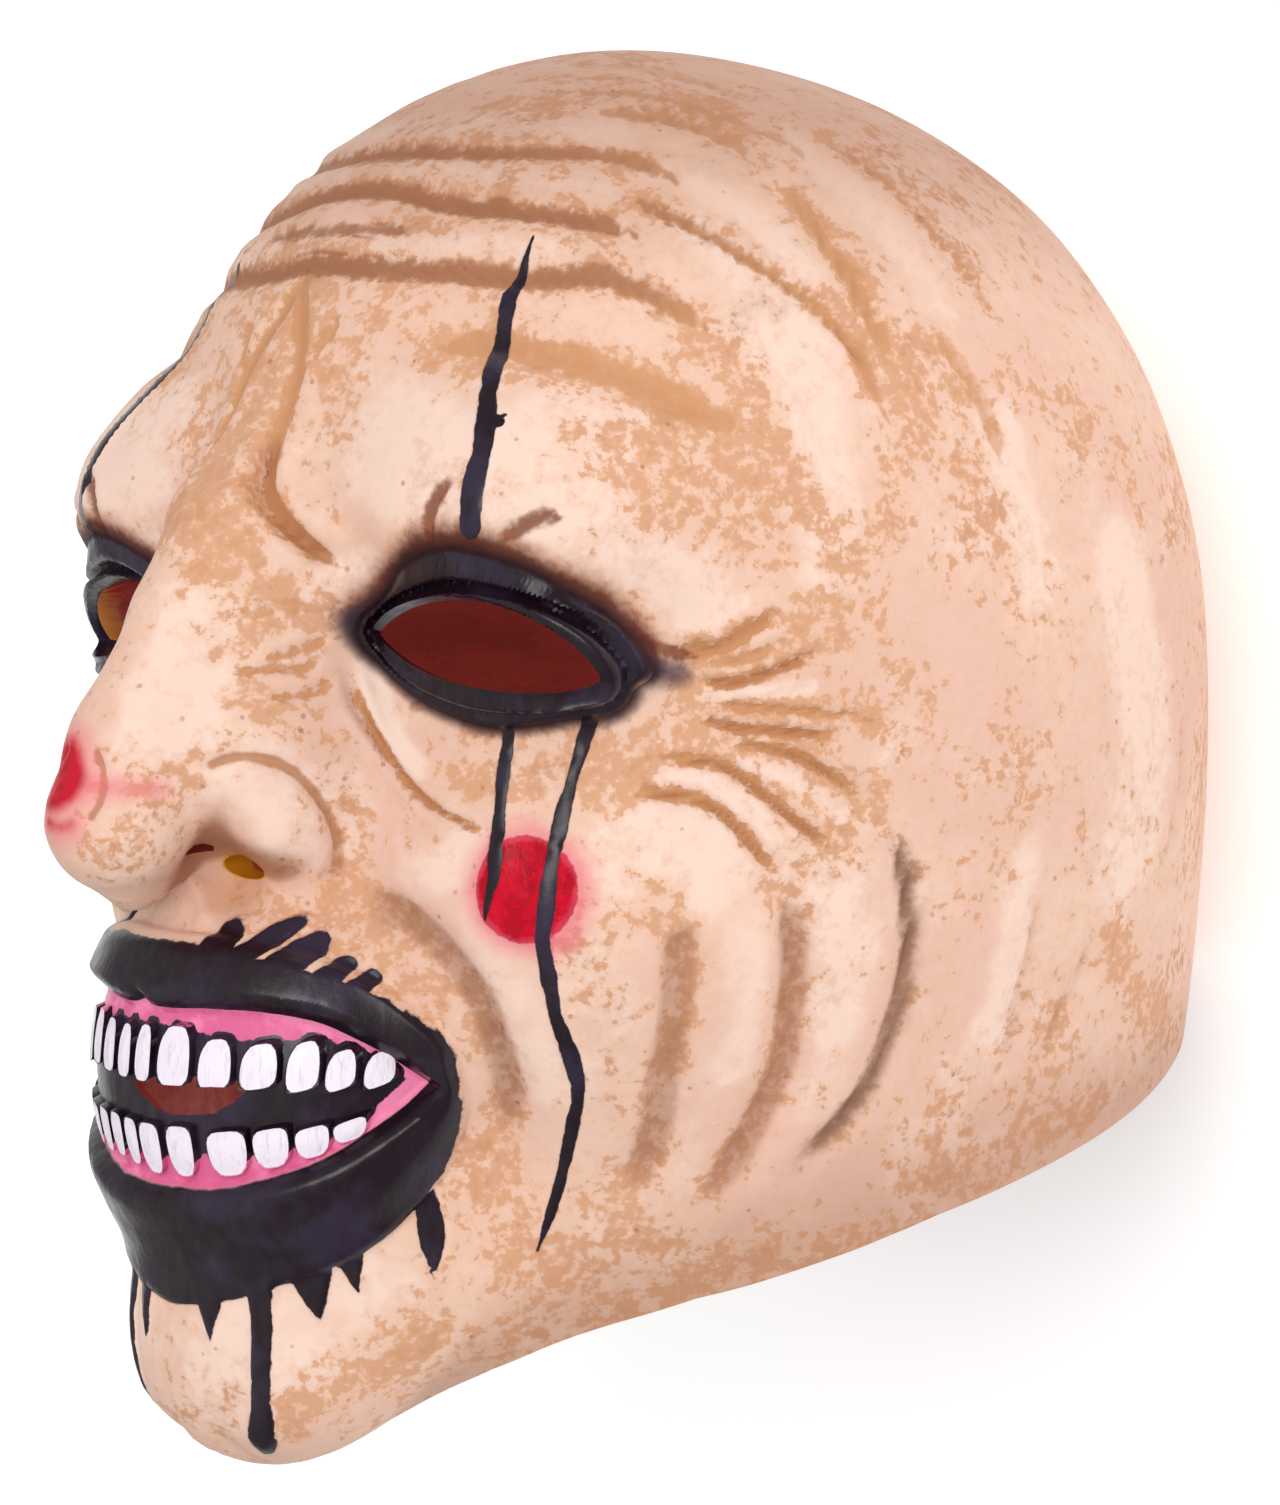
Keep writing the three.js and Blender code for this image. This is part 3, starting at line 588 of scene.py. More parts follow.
paleLook = [  # brushed with the pale paint: path, half width in mm, strength
    [[[16, 29.6], [20, 28], [27.5, 26.5], [34, 27.5]], 6.0, 0.9],
    [[[15.3, 25.2], [22.6, 23.4], [28.1, 23.2]], 3.4, 0.8],
    [[[33, 22], [38, 21.6], [43.7, 18.8], [45.5, 17.6]], 3.4, 0.9],
    [[[38.7, -3.8], [42, -3.1], [45.4, -4.2], [47.2, -7]], 4.4, 1.0],
    [[[52.9, 40.4], [56.3, 36.5], [57.7, 31.6], [58.1, 25], [57.2, 20.7]], 3.6, 0.8],
    [[[97.9, 21.7], [100.6, 11.5], [102.5, 0.8], [101, -10]], 7.0, 0.9],
    [[[80.9, 34.1], [82.1, 27.7], [82.3, 21.1]], 4.0, 0.7],
    [[[59.5, -10.5], [60.9, -16.6], [60, -22.3]], 4.0, 0.7],
    [[[49.1, -9], [49.7, -16.5], [48.4, -24]], 3.4, 0.5],
    [[[16.5, 19.7], [12.4, 18.4], [11.2, 16.6]], 2.2, 0.7],
    [[[4.7, 13], [4.4, 8.5], [4.9, 5.6]], 3.4, 1.0],
    [[[9.1, 2.2], [11.1, -0.2], [11.4, -3.5]], 4.0, 1.0],
    [[[14.6, 11.4], [15.2, 8.0], [17.2, 4.6], [20, 2.6]], 1.6, 1.0],
    [[[7.1, -36.9], [11.5, -37.3], [13.5, -35.9]], 5.0, 0.9],
    [[[83.1, -8.3], [81.3, -16.7], [79.6, -24.8]], 4.0, 0.7],
    [[[43.9, 15.6], [46.8, 16.0], [49.4, 17.8]], 1.1, 1.0],
    [[[46, 9.7], [51, 9.8], [56, 10.4]], 1.0, 0.9],
    [[[42, 2.4], [46, 1.9], [50, -0.8], [52.6, -3.6]], 1.0, 0.9],
    [[[49, 3.4], [53, 2.4], [56.4, 0.4], [60, -2.6]], 1.0, 0.8],
    [[[8.9, 44.8], [20.4, 45.4], [30.4, 45.3]], 1.6, 0.8],
    [[[45.6, 48.5], [52.1, 43.7], [57.2, 39.1]], 2.6, 0.7],
    [[[45.6, 53.4], [54.1, 49.2], [57.4, 44.9]], 2.6, 0.7],
    [[[4.8, 57.4], [19.5, 58.1], [33, 58]], 3.0, 0.7],
    [[[6, 52.6], [20, 52.2], [34, 51.6]], 1.8, 0.6],
    [[[62, 60], [72, 52], [76, 45]], 3.0, 0.5],
    [[[27, -10], [30, -16], [32, -24]], 4.0, 0.5],
    [[[26, -3.4], [24, -5.6], [20, -6.8]], 3.0, 0.7],
]


# Relief on the skin

def foldRelief(places):
    # depth of the folds and height of the swelling beside them, in mm
    groove = np.zeros(len(places))
    shoulder = np.zeros(len(places))
    for kind in foldLook:
        for inside, width, depth, _, fade in foldFields(places, kind):
            distance = width - inside
            dip = depth * fade * np.exp(-((distance / max(width, 1.1)) ** 2))
            swell = 0.42 * depth * fade * np.exp(-((distance - 2.1 * width) / (1.25 * width)) ** 2)
            groove = np.maximum(groove, dip)
            shoulder = np.maximum(shoulder, swell)
    return groove, shoulder


def foldFields(places, kind):
    # of each fold of a kind: mm inside its edge, half width, depth, strength of its paint, and
    # the fading of its ends
    sides = mirrored(places)
    for path, width, depth, strength in foldLook[kind]:
        distance, along, _ = strokeDistance(sides, path)
        fade = smoothstep(1 - along, -0.02, 0.22)
        if path[0][0] > 1.5:
            fade = fade * smoothstep(along, -0.02, 0.16)
        yield width - distance, width, depth, strength, fade


def foldPaint(places, *kinds):
    # mm inside the painted bottom of the nearest fold, and the strength of its paint
    best = np.full(len(places), -20.0)
    tone = np.zeros(len(places))
    for kind in kinds:
        for inside, width, _, strength, fade in foldFields(places, kind):
            here = inside - width * (1 - fade)
            tone = np.where(here > best, strength, tone)
            best = np.maximum(best, here)
    return best, tone


def brushField(places, strokes):
    # strength from 0 to 1 of soft brush strokes
    strength = np.zeros(len(places))
    for path, width, most in strokes:
        distance = strokeDistance(places, path, 40)[0]
        strength = np.maximum(
            strength, most * np.exp(-((np.maximum(distance - width * 0.5, 0) / (width * 1.1)) ** 2))
        )
    return strength


def lumps(points, size, seed):
    spots = points / size + seed
    return np.array([noise.noise(Vector(spot)) for spot in spots.tolist()])


reliefLook = {  # heights in mm
    "frontLumps": (0.35, 11.0, 3.1),  # height, size, seed
    "broadLumps": (0.7, 34.0, 8.4),
    "lipsMeet": -21.5,  # rise that parts the upper lip from the lower
    "ledge": [[21.7, -30.6], [22.4, -33.4], [22.2, -36.2], [20.9, -37.6]],
    "ledgeHeight": 0.9,
    "ledgeWidth": 1.1,
    "lineHeight": 0.5,
    "dripHeight": 0.9,
    "discRim": 0.45,
    "discHeight": 0.25,
}


def reliefHeight(points, places):
    radius = np.linalg.norm(points, axis=1) / ballRadius
    sides = mirrored(places)
    groove, shoulder = foldRelief(places)
    height = shoulder - groove
    front = smoothstep(places[:, 2], 0.1, 0.5)
    small, smallSize, smallSeed = reliefLook["frontLumps"]
    broad, broadSize, broadSeed = reliefLook["broadLumps"]
    height = height + small * front * lumps(points, smallSize, smallSeed) + broad * lumps(
        points, broadSize, broadSeed
    )
    # rolled lids: a broad roll round the hole, a groove and a thin outer rim
    eye = -outlineDistance(sides, eyeOutline()) * radius
    side, rise = anglesOf(sides)
    width, above = lidWidth(side, rise)
    across = eye / width
    roll = eyeLook["lidHeight"] * smoothstep(np.abs(np.maximum(across, 0) - 0.2), 0.46, 0.02)
    rim = (1.5 + 1.1 * above) * smoothstep(np.abs(across - 0.8), 0.36, 0.0)
    near = smoothstep(width + 3 - eye, 0, 3)
    height = height * (1 - near) + np.maximum(roll, rim)
    # lips and gums
    outer = outlineDistance(places, mouthLine("outer")) * radius
    inner = outlineDistance(places, mouthLine("inner")) * radius
    mouthRise = anglesOf(places)[1]
    lower = smoothstep(reliefLook["lipsMeet"] - mouthRise, -1.0, 1.0)
    share = np.clip(outer, 0, 99) / np.maximum(np.clip(outer, 0, 99) + np.clip(-inner, 0, 99), 1e-6)
    # share is 0 at the lip's outer edge and 1 at the gums
    lip = 1.2 + 2.0 * smoothstep(share, -0.1, 0.34 + 0.2 * lower) - 0.7 * smoothstep(share, 0.85, 1.0)
    lip = lip + 0.5 * lower
    insideLip = smoothstep(outer, -0.5, 0.7)
    height = height * (1 - insideLip) + lip * insideLip
    drop = smoothstep(inner, -0.9, 1.2)
    height = height * (1 - drop) - mouthLook["gumDepth"] * drop
    # ledge of skin beside the outermost drip
    ledge = strokeDistance(sides, reliefLook["ledge"])[0]
    height = height + reliefLook["ledgeHeight"] * (outer < 0.5) * np.exp(
        -((ledge * radius / reliefLook["ledgeWidth"]) ** 2)
    )
    # drips, lines and discs, raised a little from the skin
    strokes = strokeField(places, "left", "right") * radius
    height = height + reliefLook["lineHeight"] * smoothstep(strokes, -1.4, 0.0) * (eye > width)
    dripping = strokeField(places, "drips", "spikes") * radius
    height = height + reliefLook["dripHeight"] * smoothstep(dripping, -0.7, 0.7) * (1 - insideLip)
    disc = discField(places) * radius
    discRim = reliefLook["discRim"] * np.exp(-((disc - 0.4) / 0.7) ** 2)
    height = height + discRim + reliefLook["discHeight"] * smoothstep(disc, -0.2, 0.8)
    # wings, tip and underside of the nose
    mirroredPoints = mirrored(points)
    height = height - 1.5 * noseMark(mirroredPoints, "basin", 4.2)
    height = height + 1.5 * noseMark(mirroredPoints, "lipRidge", 1.8)
    height = height + 4.0 * noseMark(points, "columella", 3.8, True)
    height = height - 1.4 * noseMark(mirroredPoints, "wingCrease", 1.5, True)
    height = height - 0.8 * noseMark(mirroredPoints, "tipCrease", 1.1, True)
    return height


def strokeField(places, *kinds):
    # mm inside the nearest stroke of black paint, below zero outside
    inside = np.full(len(places), -30.0)
    for kind in kinds:
        for path in paintLook[kind]:
            distance, _, width = strokeDistance(places, path, 10.0)
            inside = np.maximum(inside, width - distance)
    return inside


def discField(places):
    side, rise, radius = paintLook["disc"]
    distance = np.linalg.norm(mirrored(places) - direction(side, rise), axis=1) * ballRadius
    return radius * 0.92 - distance


# Meshes

def meshPoints(mesh):
    flat = np.empty(len(mesh.vertices) * 3)
    mesh.vertices.foreach_get("co", flat)
    return flat.reshape(-1, 3)


def setPoints(mesh, points):
    mesh.vertices.foreach_set("co", points.astype(np.float32).ravel())
    mesh.update()


def addPiece(name, mesh):
    piece = bpy.data.objects.new(name, mesh)
    scene.collection.objects.link(piece)
    return piece


def meshFrom(shape, name):
    bmesh.ops.recalc_face_normals(shape, faces=shape.faces[:])
    mesh = bpy.data.meshes.new(name)
    shape.to_mesh(mesh)
    shape.free()
    return mesh


meshLook = {
    "skinCells": 90,
    "crowsFeet": [[48, 13], [53, 8], [53, 2], [51, -5]],  # middle of the finer cells beside the eyes
    "crowsFeetReach": 11.5,
    "liningCells": 36,
    "crowding": 0.52,  # spacing of the cells at the face, against an even spacing
    "crowdingPower": 1.5,
    "forward": 42.0,  # how far the face's rays start in front of the head's middle
}


def cubeOfCells(cells, name):
    shape = bmesh.new()
    bmesh.ops.create_cube(shape, size=2)
    bmesh.ops.subdivide_edges(shape, edges=shape.edges[:], cuts=cells - 1, use_grid_fill=True)
    return meshFrom(shape, name)


def headMesh(name, cells, below):
    mesh = cubeOfCells(cells, name)
    even = np.tan(meshPoints(mesh) * np.pi / 4)
    even /= np.linalg.norm(even, axis=1)[:, None]
    angle = np.arccos(np.clip(even[:, 2], -1, 1))
    turn = np.arctan2(even[:, 1], even[:, 0])
    crowding = meshLook["crowding"]
    crowded = angle * (crowding + (1 - crowding) * (angle / np.pi) ** meshLook["crowdingPower"])
    headings = np.stack(
        [np.sin(crowded) * np.cos(turn), np.sin(crowded) * np.sin(turn), np.cos(crowded)], axis=1
    )
    starts = np.zeros_like(headings)
    starts[:, 2] = meshLook["forward"] * smoothstep(headings[:, 2], -0.6, 0.95)
    setPoints(mesh, pushToHead(starts, headings, below))
    return mesh


def relaxNose(mesh, rounds):
    # evens out the cells round the nose and keeps them on the form
    shape = bmesh.new()
    shape.from_mesh(mesh)
    chosen = [v for v in shape.verts if v.co.z > 92 and abs(v.co.x) < 44 and -34 < v.co.y < 44]
    for step in range(rounds):
        bmesh.ops.smooth_vert(
            shape, verts=chosen, factor=0.5, use_axis_x=True, use_axis_y=True, use_axis_z=True
        )
        points = np.array([v.co[:] for v in chosen])
        for again in range(2):
            points -= headNormal(points) * headDistance(points)[:, None]
        for vert, point in zip(chosen, points.tolist()):
            vert.co = point
    shape.to_mesh(mesh)
    shape.free()


def refine(mesh):
    # halves the cells round the eyes, mouth and nose, and puts the new points on the form
    points = meshPoints(mesh)
    places = points / np.linalg.norm(points, axis=1)[:, None]
    sides = mirrored(places)
    fine = outlineDistance(sides, eyeOutline()) > -9
    fine |= outlineDistance(places, mouthLine("outer")) > -3
    fine |= strokeField(places, "drips", "spikes") > -2
    fine |= strokeDistance(sides, meshLook["crowsFeet"])[0] < meshLook["crowsFeetReach"]
    fine |= (points[:, 2] > 100) & (np.abs(points[:, 0]) < 30) & (np.abs(points[:, 1] + 4) < 18)
    shape = bmesh.new()
    shape.from_mesh(mesh)
    edges = [edge for edge in shape.edges if all(fine[vert.index] for vert in edge.verts)]
    bmesh.ops.subdivide_edges(shape, edges=edges, cuts=1, use_grid_fill=True)
    shape.to_mesh(mesh)
    shape.free()
    points = meshPoints(mesh)
    for again in range(2):
        points -= headNormal(points) * headDistance(points)[:, None]
    setPoints(mesh, points)


def cutOrJoin(piece, tool, operation):
    change = piece.modifiers.new(operation, "BOOLEAN")
    change.object = tool
    change.operation = operation
    change.solver = "MANIFOLD"
    depsgraph = bpy.context.evaluated_depsgraph_get()
    made = bpy.data.meshes.new_from_object(piece.evaluated_get(depsgraph))
    piece.modifiers.clear()
    old = piece.data
    piece.data = made
    bpy.data.meshes.remove(old)
    bpy.data.meshes.remove(tool.data)


def onSkin(side, rise, height):
    places = direction(np.asarray(side, float), np.asarray(rise, float))
    surface = pushToHead(np.zeros_like(places), places, 0.0)
    height = np.asarray(height, float)
    return surface + places * (height if height.ndim == 0 else height[:, None])


def prismThroughWall(name, outline, reach, flare):
    # keeps its size above the skin and flares towards the lining, so that the edge is thin
    shape = bmesh.new()
    bmesh.ops.create_circle(shape, cap_ends=True, radius=1, segments=len(outline))
    face = shape.faces[:]
    for level in (1, 2):
        grown = bmesh.ops.extrude_face_region(shape, geom=face)
        face = [item for item in grown["geom"] if isinstance(item, bmesh.types.BMFace)]
        lifted = [item for item in grown["geom"] if isinstance(item, bmesh.types.BMVert)]
        bmesh.ops.translate(shape, verts=lifted, vec=(0, 0, 1))
    inside = [item for item in shape.faces if 0.2 < item.calc_center_median().z < 1.8 and abs(item.normal.z) > 0.9]
    bmesh.ops.delete(shape, geom=inside, context="FACES_ONLY")
    mesh = meshFrom(shape, name)
    points = meshPoints(mesh)
    share = np.arctan2(points[:, 1], points[:, 0]) / (2 * np.pi)
    turn = np.round(share * len(outline)).astype(int) % len(outline)
    spots = np.array(outline, float)
    spread = spots - (spots.min(axis=0) + spots.max(axis=0)) / 2
    spread /= np.linalg.norm(spread, axis=1)[:, None]
    spots = spots[turn] + spread[turn] * (flare * np.maximum(1 - points[:, 2], 0))[:, None]
    setPoints(mesh, onSkin(spots[:, 0], spots[:, 1], reach * (points[:, 2] - 1)))
    return fixNormals(mesh)


def fixNormals(mesh):
    shape = bmesh.new()
    shape.from_mesh(mesh)
    bmesh.ops.triangulate(shape, faces=shape.faces[:])
    bmesh.ops.recalc_face_normals(shape, faces=shape.faces[:])
    if shape.calc_volume(signed=True) < 0:
        bmesh.ops.reverse_faces(shape, faces=shape.faces[:])
    shape.to_mesh(mesh)
    shape.free()
    return mesh


def toothMesh(side, rise, width, height, upper):
    shape = bmesh.new()
    bmesh.ops.create_cube(shape, size=2)
    bmesh.ops.subdivide_edges(shape, edges=shape.edges[:], cuts=5, use_grid_fill=True)
    mesh = meshFrom(shape, "tooth")
    u, v, w = meshPoints(mesh).T
    gumward = v if upper else -v
    draw = 1 - 0.1 * smoothstep(w, 0.2, 1)
    across = u * (1 - 0.16 * smoothstep(gumward, -0.2, 1.0)) * draw
    up = v * (1 - np.where(gumward > 0, 0.34, 0.12) * u**4) * draw
    dome = 0.3 * (1 - u**2) * (1 - v**2)
    front = teethLook["height"] - mouthLook["gumDepth"] + dome
    setPoints(
        mesh,
        onSkin(
            side + across * width / 2,
            rise + up * height / 2,
            np.where(w > 0, front * w, (teethLook["root"] + 1.3) * w),
        ),
    )
    return fixNormals(mesh)


def slabBehind(name, front):
    # a block that fills everything behind this distance from the head's middle
    shape = bmesh.new()
    bmesh.ops.create_cube(shape, size=1)
    bmesh.ops.scale(shape, verts=shape.verts[:], vec=(300, 300, 100))
    bmesh.ops.translate(shape, verts=shape.verts[:], vec=(0, 0, front - 50))
    return meshFrom(shape, name)


def cutAway(piece, mesh):
    cutOrJoin(piece, addPiece(mesh.name, mesh), "DIFFERENCE")


# the neck's cut edge, as distance out of the face and height
neckEdge = [(-130, -44), (20, -77), (60, -88.5), (85, -101), (94, -111), (99, -135)]


def buildMask():
    skin = headMesh("skin", meshLook["skinCells"], 0.0)
    relaxNose(skin, 14)
    refine(skin)
    points = meshPoints(skin)
    places = points / np.linalg.norm(points, axis=1)[:, None]
    lift = reliefHeight(points, places)
    setPoints(skin, points + headNormal(points) * lift[:, None])
    mask = addPiece("clownMask", skin)
    print("skin", len(skin.vertices), "points")

    cutAway(mask, slabBehind("backCut", -backDepth))
    for row, upper in ((teethLook["upper"], True), (teethLook["lower"], False)):
        for side, rise, width, height in row:
            cutOrJoin(mask, addPiece("tooth", toothMesh(side, rise, width, height, upper)), "UNION")
    print("teeth joined")

    lining = addPiece("lining", headMesh("lining", meshLook["liningCells"], wall))
    cutAway(lining, slabBehind("liningCut", -backDepth + wall))
    cutOrJoin(mask, lining, "DIFFERENCE")

    eye = eyeOutline()
    for sign in (1, -1):
        hole = prismThroughWall("eyeHole", eye * np.array([sign, 1]), eyeLook["cutReach"], eyeLook["flare"])
        cutAway(mask, hole)
        (x, y, z), halfSizes = noseLook["nostril"]
        nostril = bmesh.new()
        bmesh.ops.create_uvsphere(nostril, u_segments=28, v_segments=18, radius=1)
        bmesh.ops.scale(nostril, verts=nostril.verts[:], vec=halfSizes)
        turned = Matrix.Rotation(math.radians(sign * noseLook["nostrilTurn"]), 3, "Y")
        bmesh.ops.rotate(nostril, verts=nostril.verts[:], cent=(0, 0, 0), matrix=turned)
        bmesh.ops.translate(nostril, verts=nostril.verts[:], vec=(sign * x, y, z))
        cutAway(mask, meshFrom(nostril, "nostril"))
    gap = prismThroughWall("gap", mouthLook["gap"], mouthLook["gapReach"], mouthLook["gapFlare"])
    cutAway(mask, gap)

    shape = bmesh.new()
    corners = [shape.verts.new((-130, up, forward)) for forward, up in [*neckEdge, (-130, -190)]]
    shape.faces.new(corners)
    grown = bmesh.ops.extrude_face_region(shape, geom=shape.faces[:])
    far = [v for v in grown["geom"] if isinstance(v, bmesh.types.BMVert)]
    bmesh.ops.translate(shape, verts=far, vec=(260, 0, 0))
    cutAway(mask, fixNormals(meshFrom(shape, "neckCut")))
    print("holes cut")
    return mask


def paintMask(mask):
    mesh = mask.data
    points = meshPoints(mesh)
    radius = np.linalg.norm(points, axis=1)
    places = points / radius[:, None]
    scale = radius / ballRadius
    sides = mirrored(places)
    side, rise = anglesOf(places)
    marks = {}
    marks["lips"] = outlineDistance(places, mouthLine("outer")) * scale
    marks["gums"] = outlineDistance(places, mouthLine("inner")) * scale
    marks["darkMouth"] = outlineDistance(places, mouthLine("dark")) * scale
    marks["disc"] = discField(places) * scale
    lines = [path for kind in ("left", "right") for path in paintLook[kind]]
    marks["lineOffset"], marks["lineWidth"], marks["linePast"] = nearestStroke(places, lines, 2.6)
    marks["drip"] = strokeField(places, "drips", "spikes") * scale
    folds = [[[*spot, fold[1]] for spot in fold[0]] for fold in foldLook["forehead"]]
    marks["bandOffset"], marks["bandWidth"], marks["bandPast"] = nearestStroke(sides, folds, 3.4)
    marks["band"], marks["bandTone"] = foldPaint(places, "forehead")
    marks["crease"], marks["creaseTone"] = foldPaint(places, "brow", "eye")
    marks["lash"], _ = foldPaint(places, "lash")
    # strength of the grey-brown along the long furrows of the cheeks and jaw: partly brown paint, partly painted
    # shade
    furrow = np.zeros(len(points))
    for inside, width, _, strength, fade in foldFields(places, "jaw"):
        furrow = np.maximum(furrow, strength * fade * np.exp(-(((width - inside) / (1.25 * width)) ** 2)))
    marks["furrow"] = furrow

    # the eyes: distance from the hole, reddish haze above the lids, grey haze at the corners and below
    eye = -outlineDistance(sides, eyeOutline()) * scale
    sideAway, riseAway = anglesOf(sides)
    width, above = lidWidth(sideAway, riseAway)
    beyond = eye - width
    marks["lidEdge"] = beyond
    marks["haze"] = (0.45 + 0.55 * above) * (1 - smoothstep(beyond, 0.0, 4.0 + 3.0 * above))
    dusk = 0.75 * (1 - above) * (1 - smoothstep(beyond, 0.0, 4.0))
    for path, width, most in paintLook["eyeCorners"]:
        away = strokeDistance(sides, path)[0]
        dusk = np.maximum(dusk, most * (1 - smoothstep(away, 0.2 * width, 1.6 * width)))
    marks["dusk"] = dusk

    teeth = np.full(len(points), -30.0)
    for row, gumward in ((teethLook["upper"], 1), (teethLook["lower"], -1)):
        for middle, level, width, height in row:
            u = (side - middle) / (width / 2)
            v = (rise - level) / (height / 2)
            u = u / (1 - 0.16 * smoothstep(gumward * v, -0.2, 1.0))
            v = v / (1 - np.where(gumward * v > 0, 0.34, 0.12) * np.clip(u, -1, 1) ** 4)
            box = 0.965 - (np.abs(u) ** 5 + np.abs(v) ** 5) ** 0.2
            teeth = np.maximum(teeth, box * width / 2 * np.radians(1) * radius)
    marks["teeth"] = teeth

    marks["wash"] = brushField(sides, washLook)
    marks["pale"] = brushField(sides, paleLook)
    groove, shoulder = foldRelief(places)
    mirroredPoints = mirrored(points)
    level = points - headNormal(points) * headDistance(points)[:, None]
    levelMirrored = level * np.where(points[:, :1] < 0, [[-1, 1, 1]], [[1, 1, 1]])
    crease = noseMark(levelMirrored, "wingCrease", 1.5, True)
    crease = np.maximum(crease, noseMark(levelMirrored, "tipCrease", 1.1, True))
    marks["groove"] = groove
    marks["noseCrease"] = crease
    marks["shoulder"] = shoulder
    lower = lineDistance(level, curved(noseLook["redLow"])) + 3.6
    marks["noseRed"] = np.minimum(lineDistance(level, curved(noseLook["red"])) - 1.3, lower)
    # painted shade under the nose: browner the more the surface faces down, below the tip
    downward = -headNormal(points)[:, 1]
    marks["underNoseShade"] = smoothstep(downward, 0.25, 0.85) * smoothstep(points[:, 2], 106, 116) * (
        points[:, 1] > -17
    )
    marks["underNoseShade"] *= 1 - smoothstep(points[:, 2], 124, 133)
    # painted shade in the hollow beside each nostril
    marks["basin"] = noseMark(mirroredPoints, "basin", 5.2)
    marks["nosePink"] = lineDistance(points, curved(noseLook["pink"]))

    centre, halfSizes = noseLook["nostril"]
    angle = math.radians(noseLook["nostrilTurn"])
    offset = mirroredPoints - centre
    across = offset[:, 0] * math.cos(angle) - offset[:, 2] * math.sin(angle)
    inward = offset[:, 0] * math.sin(angle) + offset[:, 2] * math.cos(angle)
    turned = np.stack([across, offset[:, 1], inward], axis=1) / halfSizes
    marks["nostril"] = np.minimum(np.linalg.norm(turned, axis=1), 5)
    # mm inward from the nearest hole or from the neck's edge
    neck = points[:, 1] - np.interp(points[:, 2], *zip(*neckEdge))
    marks["opening"] = np.minimum(np.abs(eye), np.abs(neck))
    for name, values in marks.items():
        layer = mesh.attributes.new(name, "FLOAT", "POINT")
        layer.data.foreach_set("value", np.clip(values, -30, 60).astype(np.float32))

    middles = np.empty(len(mesh.polygons) * 3)
    mesh.polygons.foreach_get("center", middles)
    middles = middles.reshape(-1, 3)
    facing = np.empty(len(mesh.polygons) * 3)
    mesh.polygons.foreach_get("normal", facing)
    facing = (facing.reshape(-1, 3) * headNormal(middles)).sum(axis=1)
    inner = (headDistance(middles) < -1.6) & (facing < 0.15)
    mesh.polygons.foreach_set("material_index", np.where(inner, 1, 0).astype(np.int32))
    mesh.polygons.foreach_set("use_smooth", np.ones(len(mesh.polygons), bool))
    setPoints(mesh, (points + headMiddle) / 1000)
    mesh.set_sharp_from_angle(angle=math.radians(48))
    triangles = sum(len(face.vertices) - 2 for face in mesh.polygons)
    print("mask", len(mesh.vertices), "points", triangles, "triangles")


# Finishes

def paint(red, green, blue):
    linear = [c / 255 / 12.92 if c <= 10 else ((c / 255 + 0.055) / 1.055) ** 2.4 for c in (red, green, blue)]
    return (*linear, 1.0)


def node(tree, kind, **settings):
    made = tree.nodes.new(kind)
    for name, value in settings.items():
        setattr(made, name, value)
    return made


def feed(tree, socket, value):
    if isinstance(value, bpy.types.NodeSocket):
        tree.links.new(value, socket)
    else:
        socket.default_value = value


def calc(tree, operation, a, b=0.0, c=None):
    made = node(tree, "ShaderNodeMath", operation=operation)
    feed(tree, made.inputs[0], a)
    feed(tree, made.inputs[1], b)
    if c is not None:
        feed(tree, made.inputs[2], c)
    return made.outputs[0]


def times(tree, a, b):
    return calc(tree, "MULTIPLY", a, b)


def fade(tree, value, low, high, start=0.0, end=1.0):
    made = node(tree, "ShaderNodeMapRange", interpolation_type="SMOOTHSTEP")
    feed(tree, made.inputs["Value"], value)
    made.inputs["From Min"].default_value = low
    made.inputs["From Max"].default_value = high
    made.inputs["To Min"].default_value = start
    made.inputs["To Max"].default_value = end
    return made.outputs["Result"]


def blendColour(tree, mask, under, over):
    made = node(tree, "ShaderNodeMix", data_type="RGBA")
    feed(tree, made.inputs["Factor"], mask)
    feed(tree, made.inputs["A"], under)
    feed(tree, made.inputs["B"], over)
    return made.outputs["Result"]


def blendValue(tree, mask, under, over):
    made = node(tree, "ShaderNodeMix", data_type="FLOAT")
    feed(tree, made.inputs["Factor"], mask)
    feed(tree, made.inputs["A"], under)
    feed(tree, made.inputs["B"], over)
    return made.outputs["Result"]


def field(tree, name):
    return node(tree, "ShaderNodeAttribute", attribute_name=name).outputs["Fac"]


def grain(tree, place, size, detail=3.0, roughness=0.5, distortion=0.0):
    made = node(tree, "ShaderNodeTexNoise")
    tree.links.new(place, made.inputs["Vector"])
    made.inputs["Scale"].default_value = 1 / size
    made.inputs["Detail"].default_value = detail
    made.inputs["Roughness"].default_value = roughness
    made.inputs["Distortion"].default_value = distortion
    return made.outputs["Fac"]


def millimetres(tree, stretch=(1, 1, 1), shift=(0, 0, 0)):
    # Object coordinates in mm from the head's middle
    place = node(tree, "ShaderNodeTexCoord").outputs["Object"]
    made = node(tree, "ShaderNodeMapping", vector_type="POINT")
    tree.links.new(place, made.inputs["Vector"])
    made.inputs["Scale"].default_value = [1000 * s for s in stretch]
    made.inputs["Location"].default_value = [a - b * s for a, b, s in zip(shift, headMiddle, stretch)]
    return made.outputs["Vector"]


def newMaterial(name, settings):
    made = bpy.data.materials.new(name)
    made.use_nodes = True
    tree = made.node_tree
    shader = tree.nodes["Principled BSDF"]
    for socket, value in settings.items():
        shader.inputs[socket].default_value = value
    return made, tree, shader


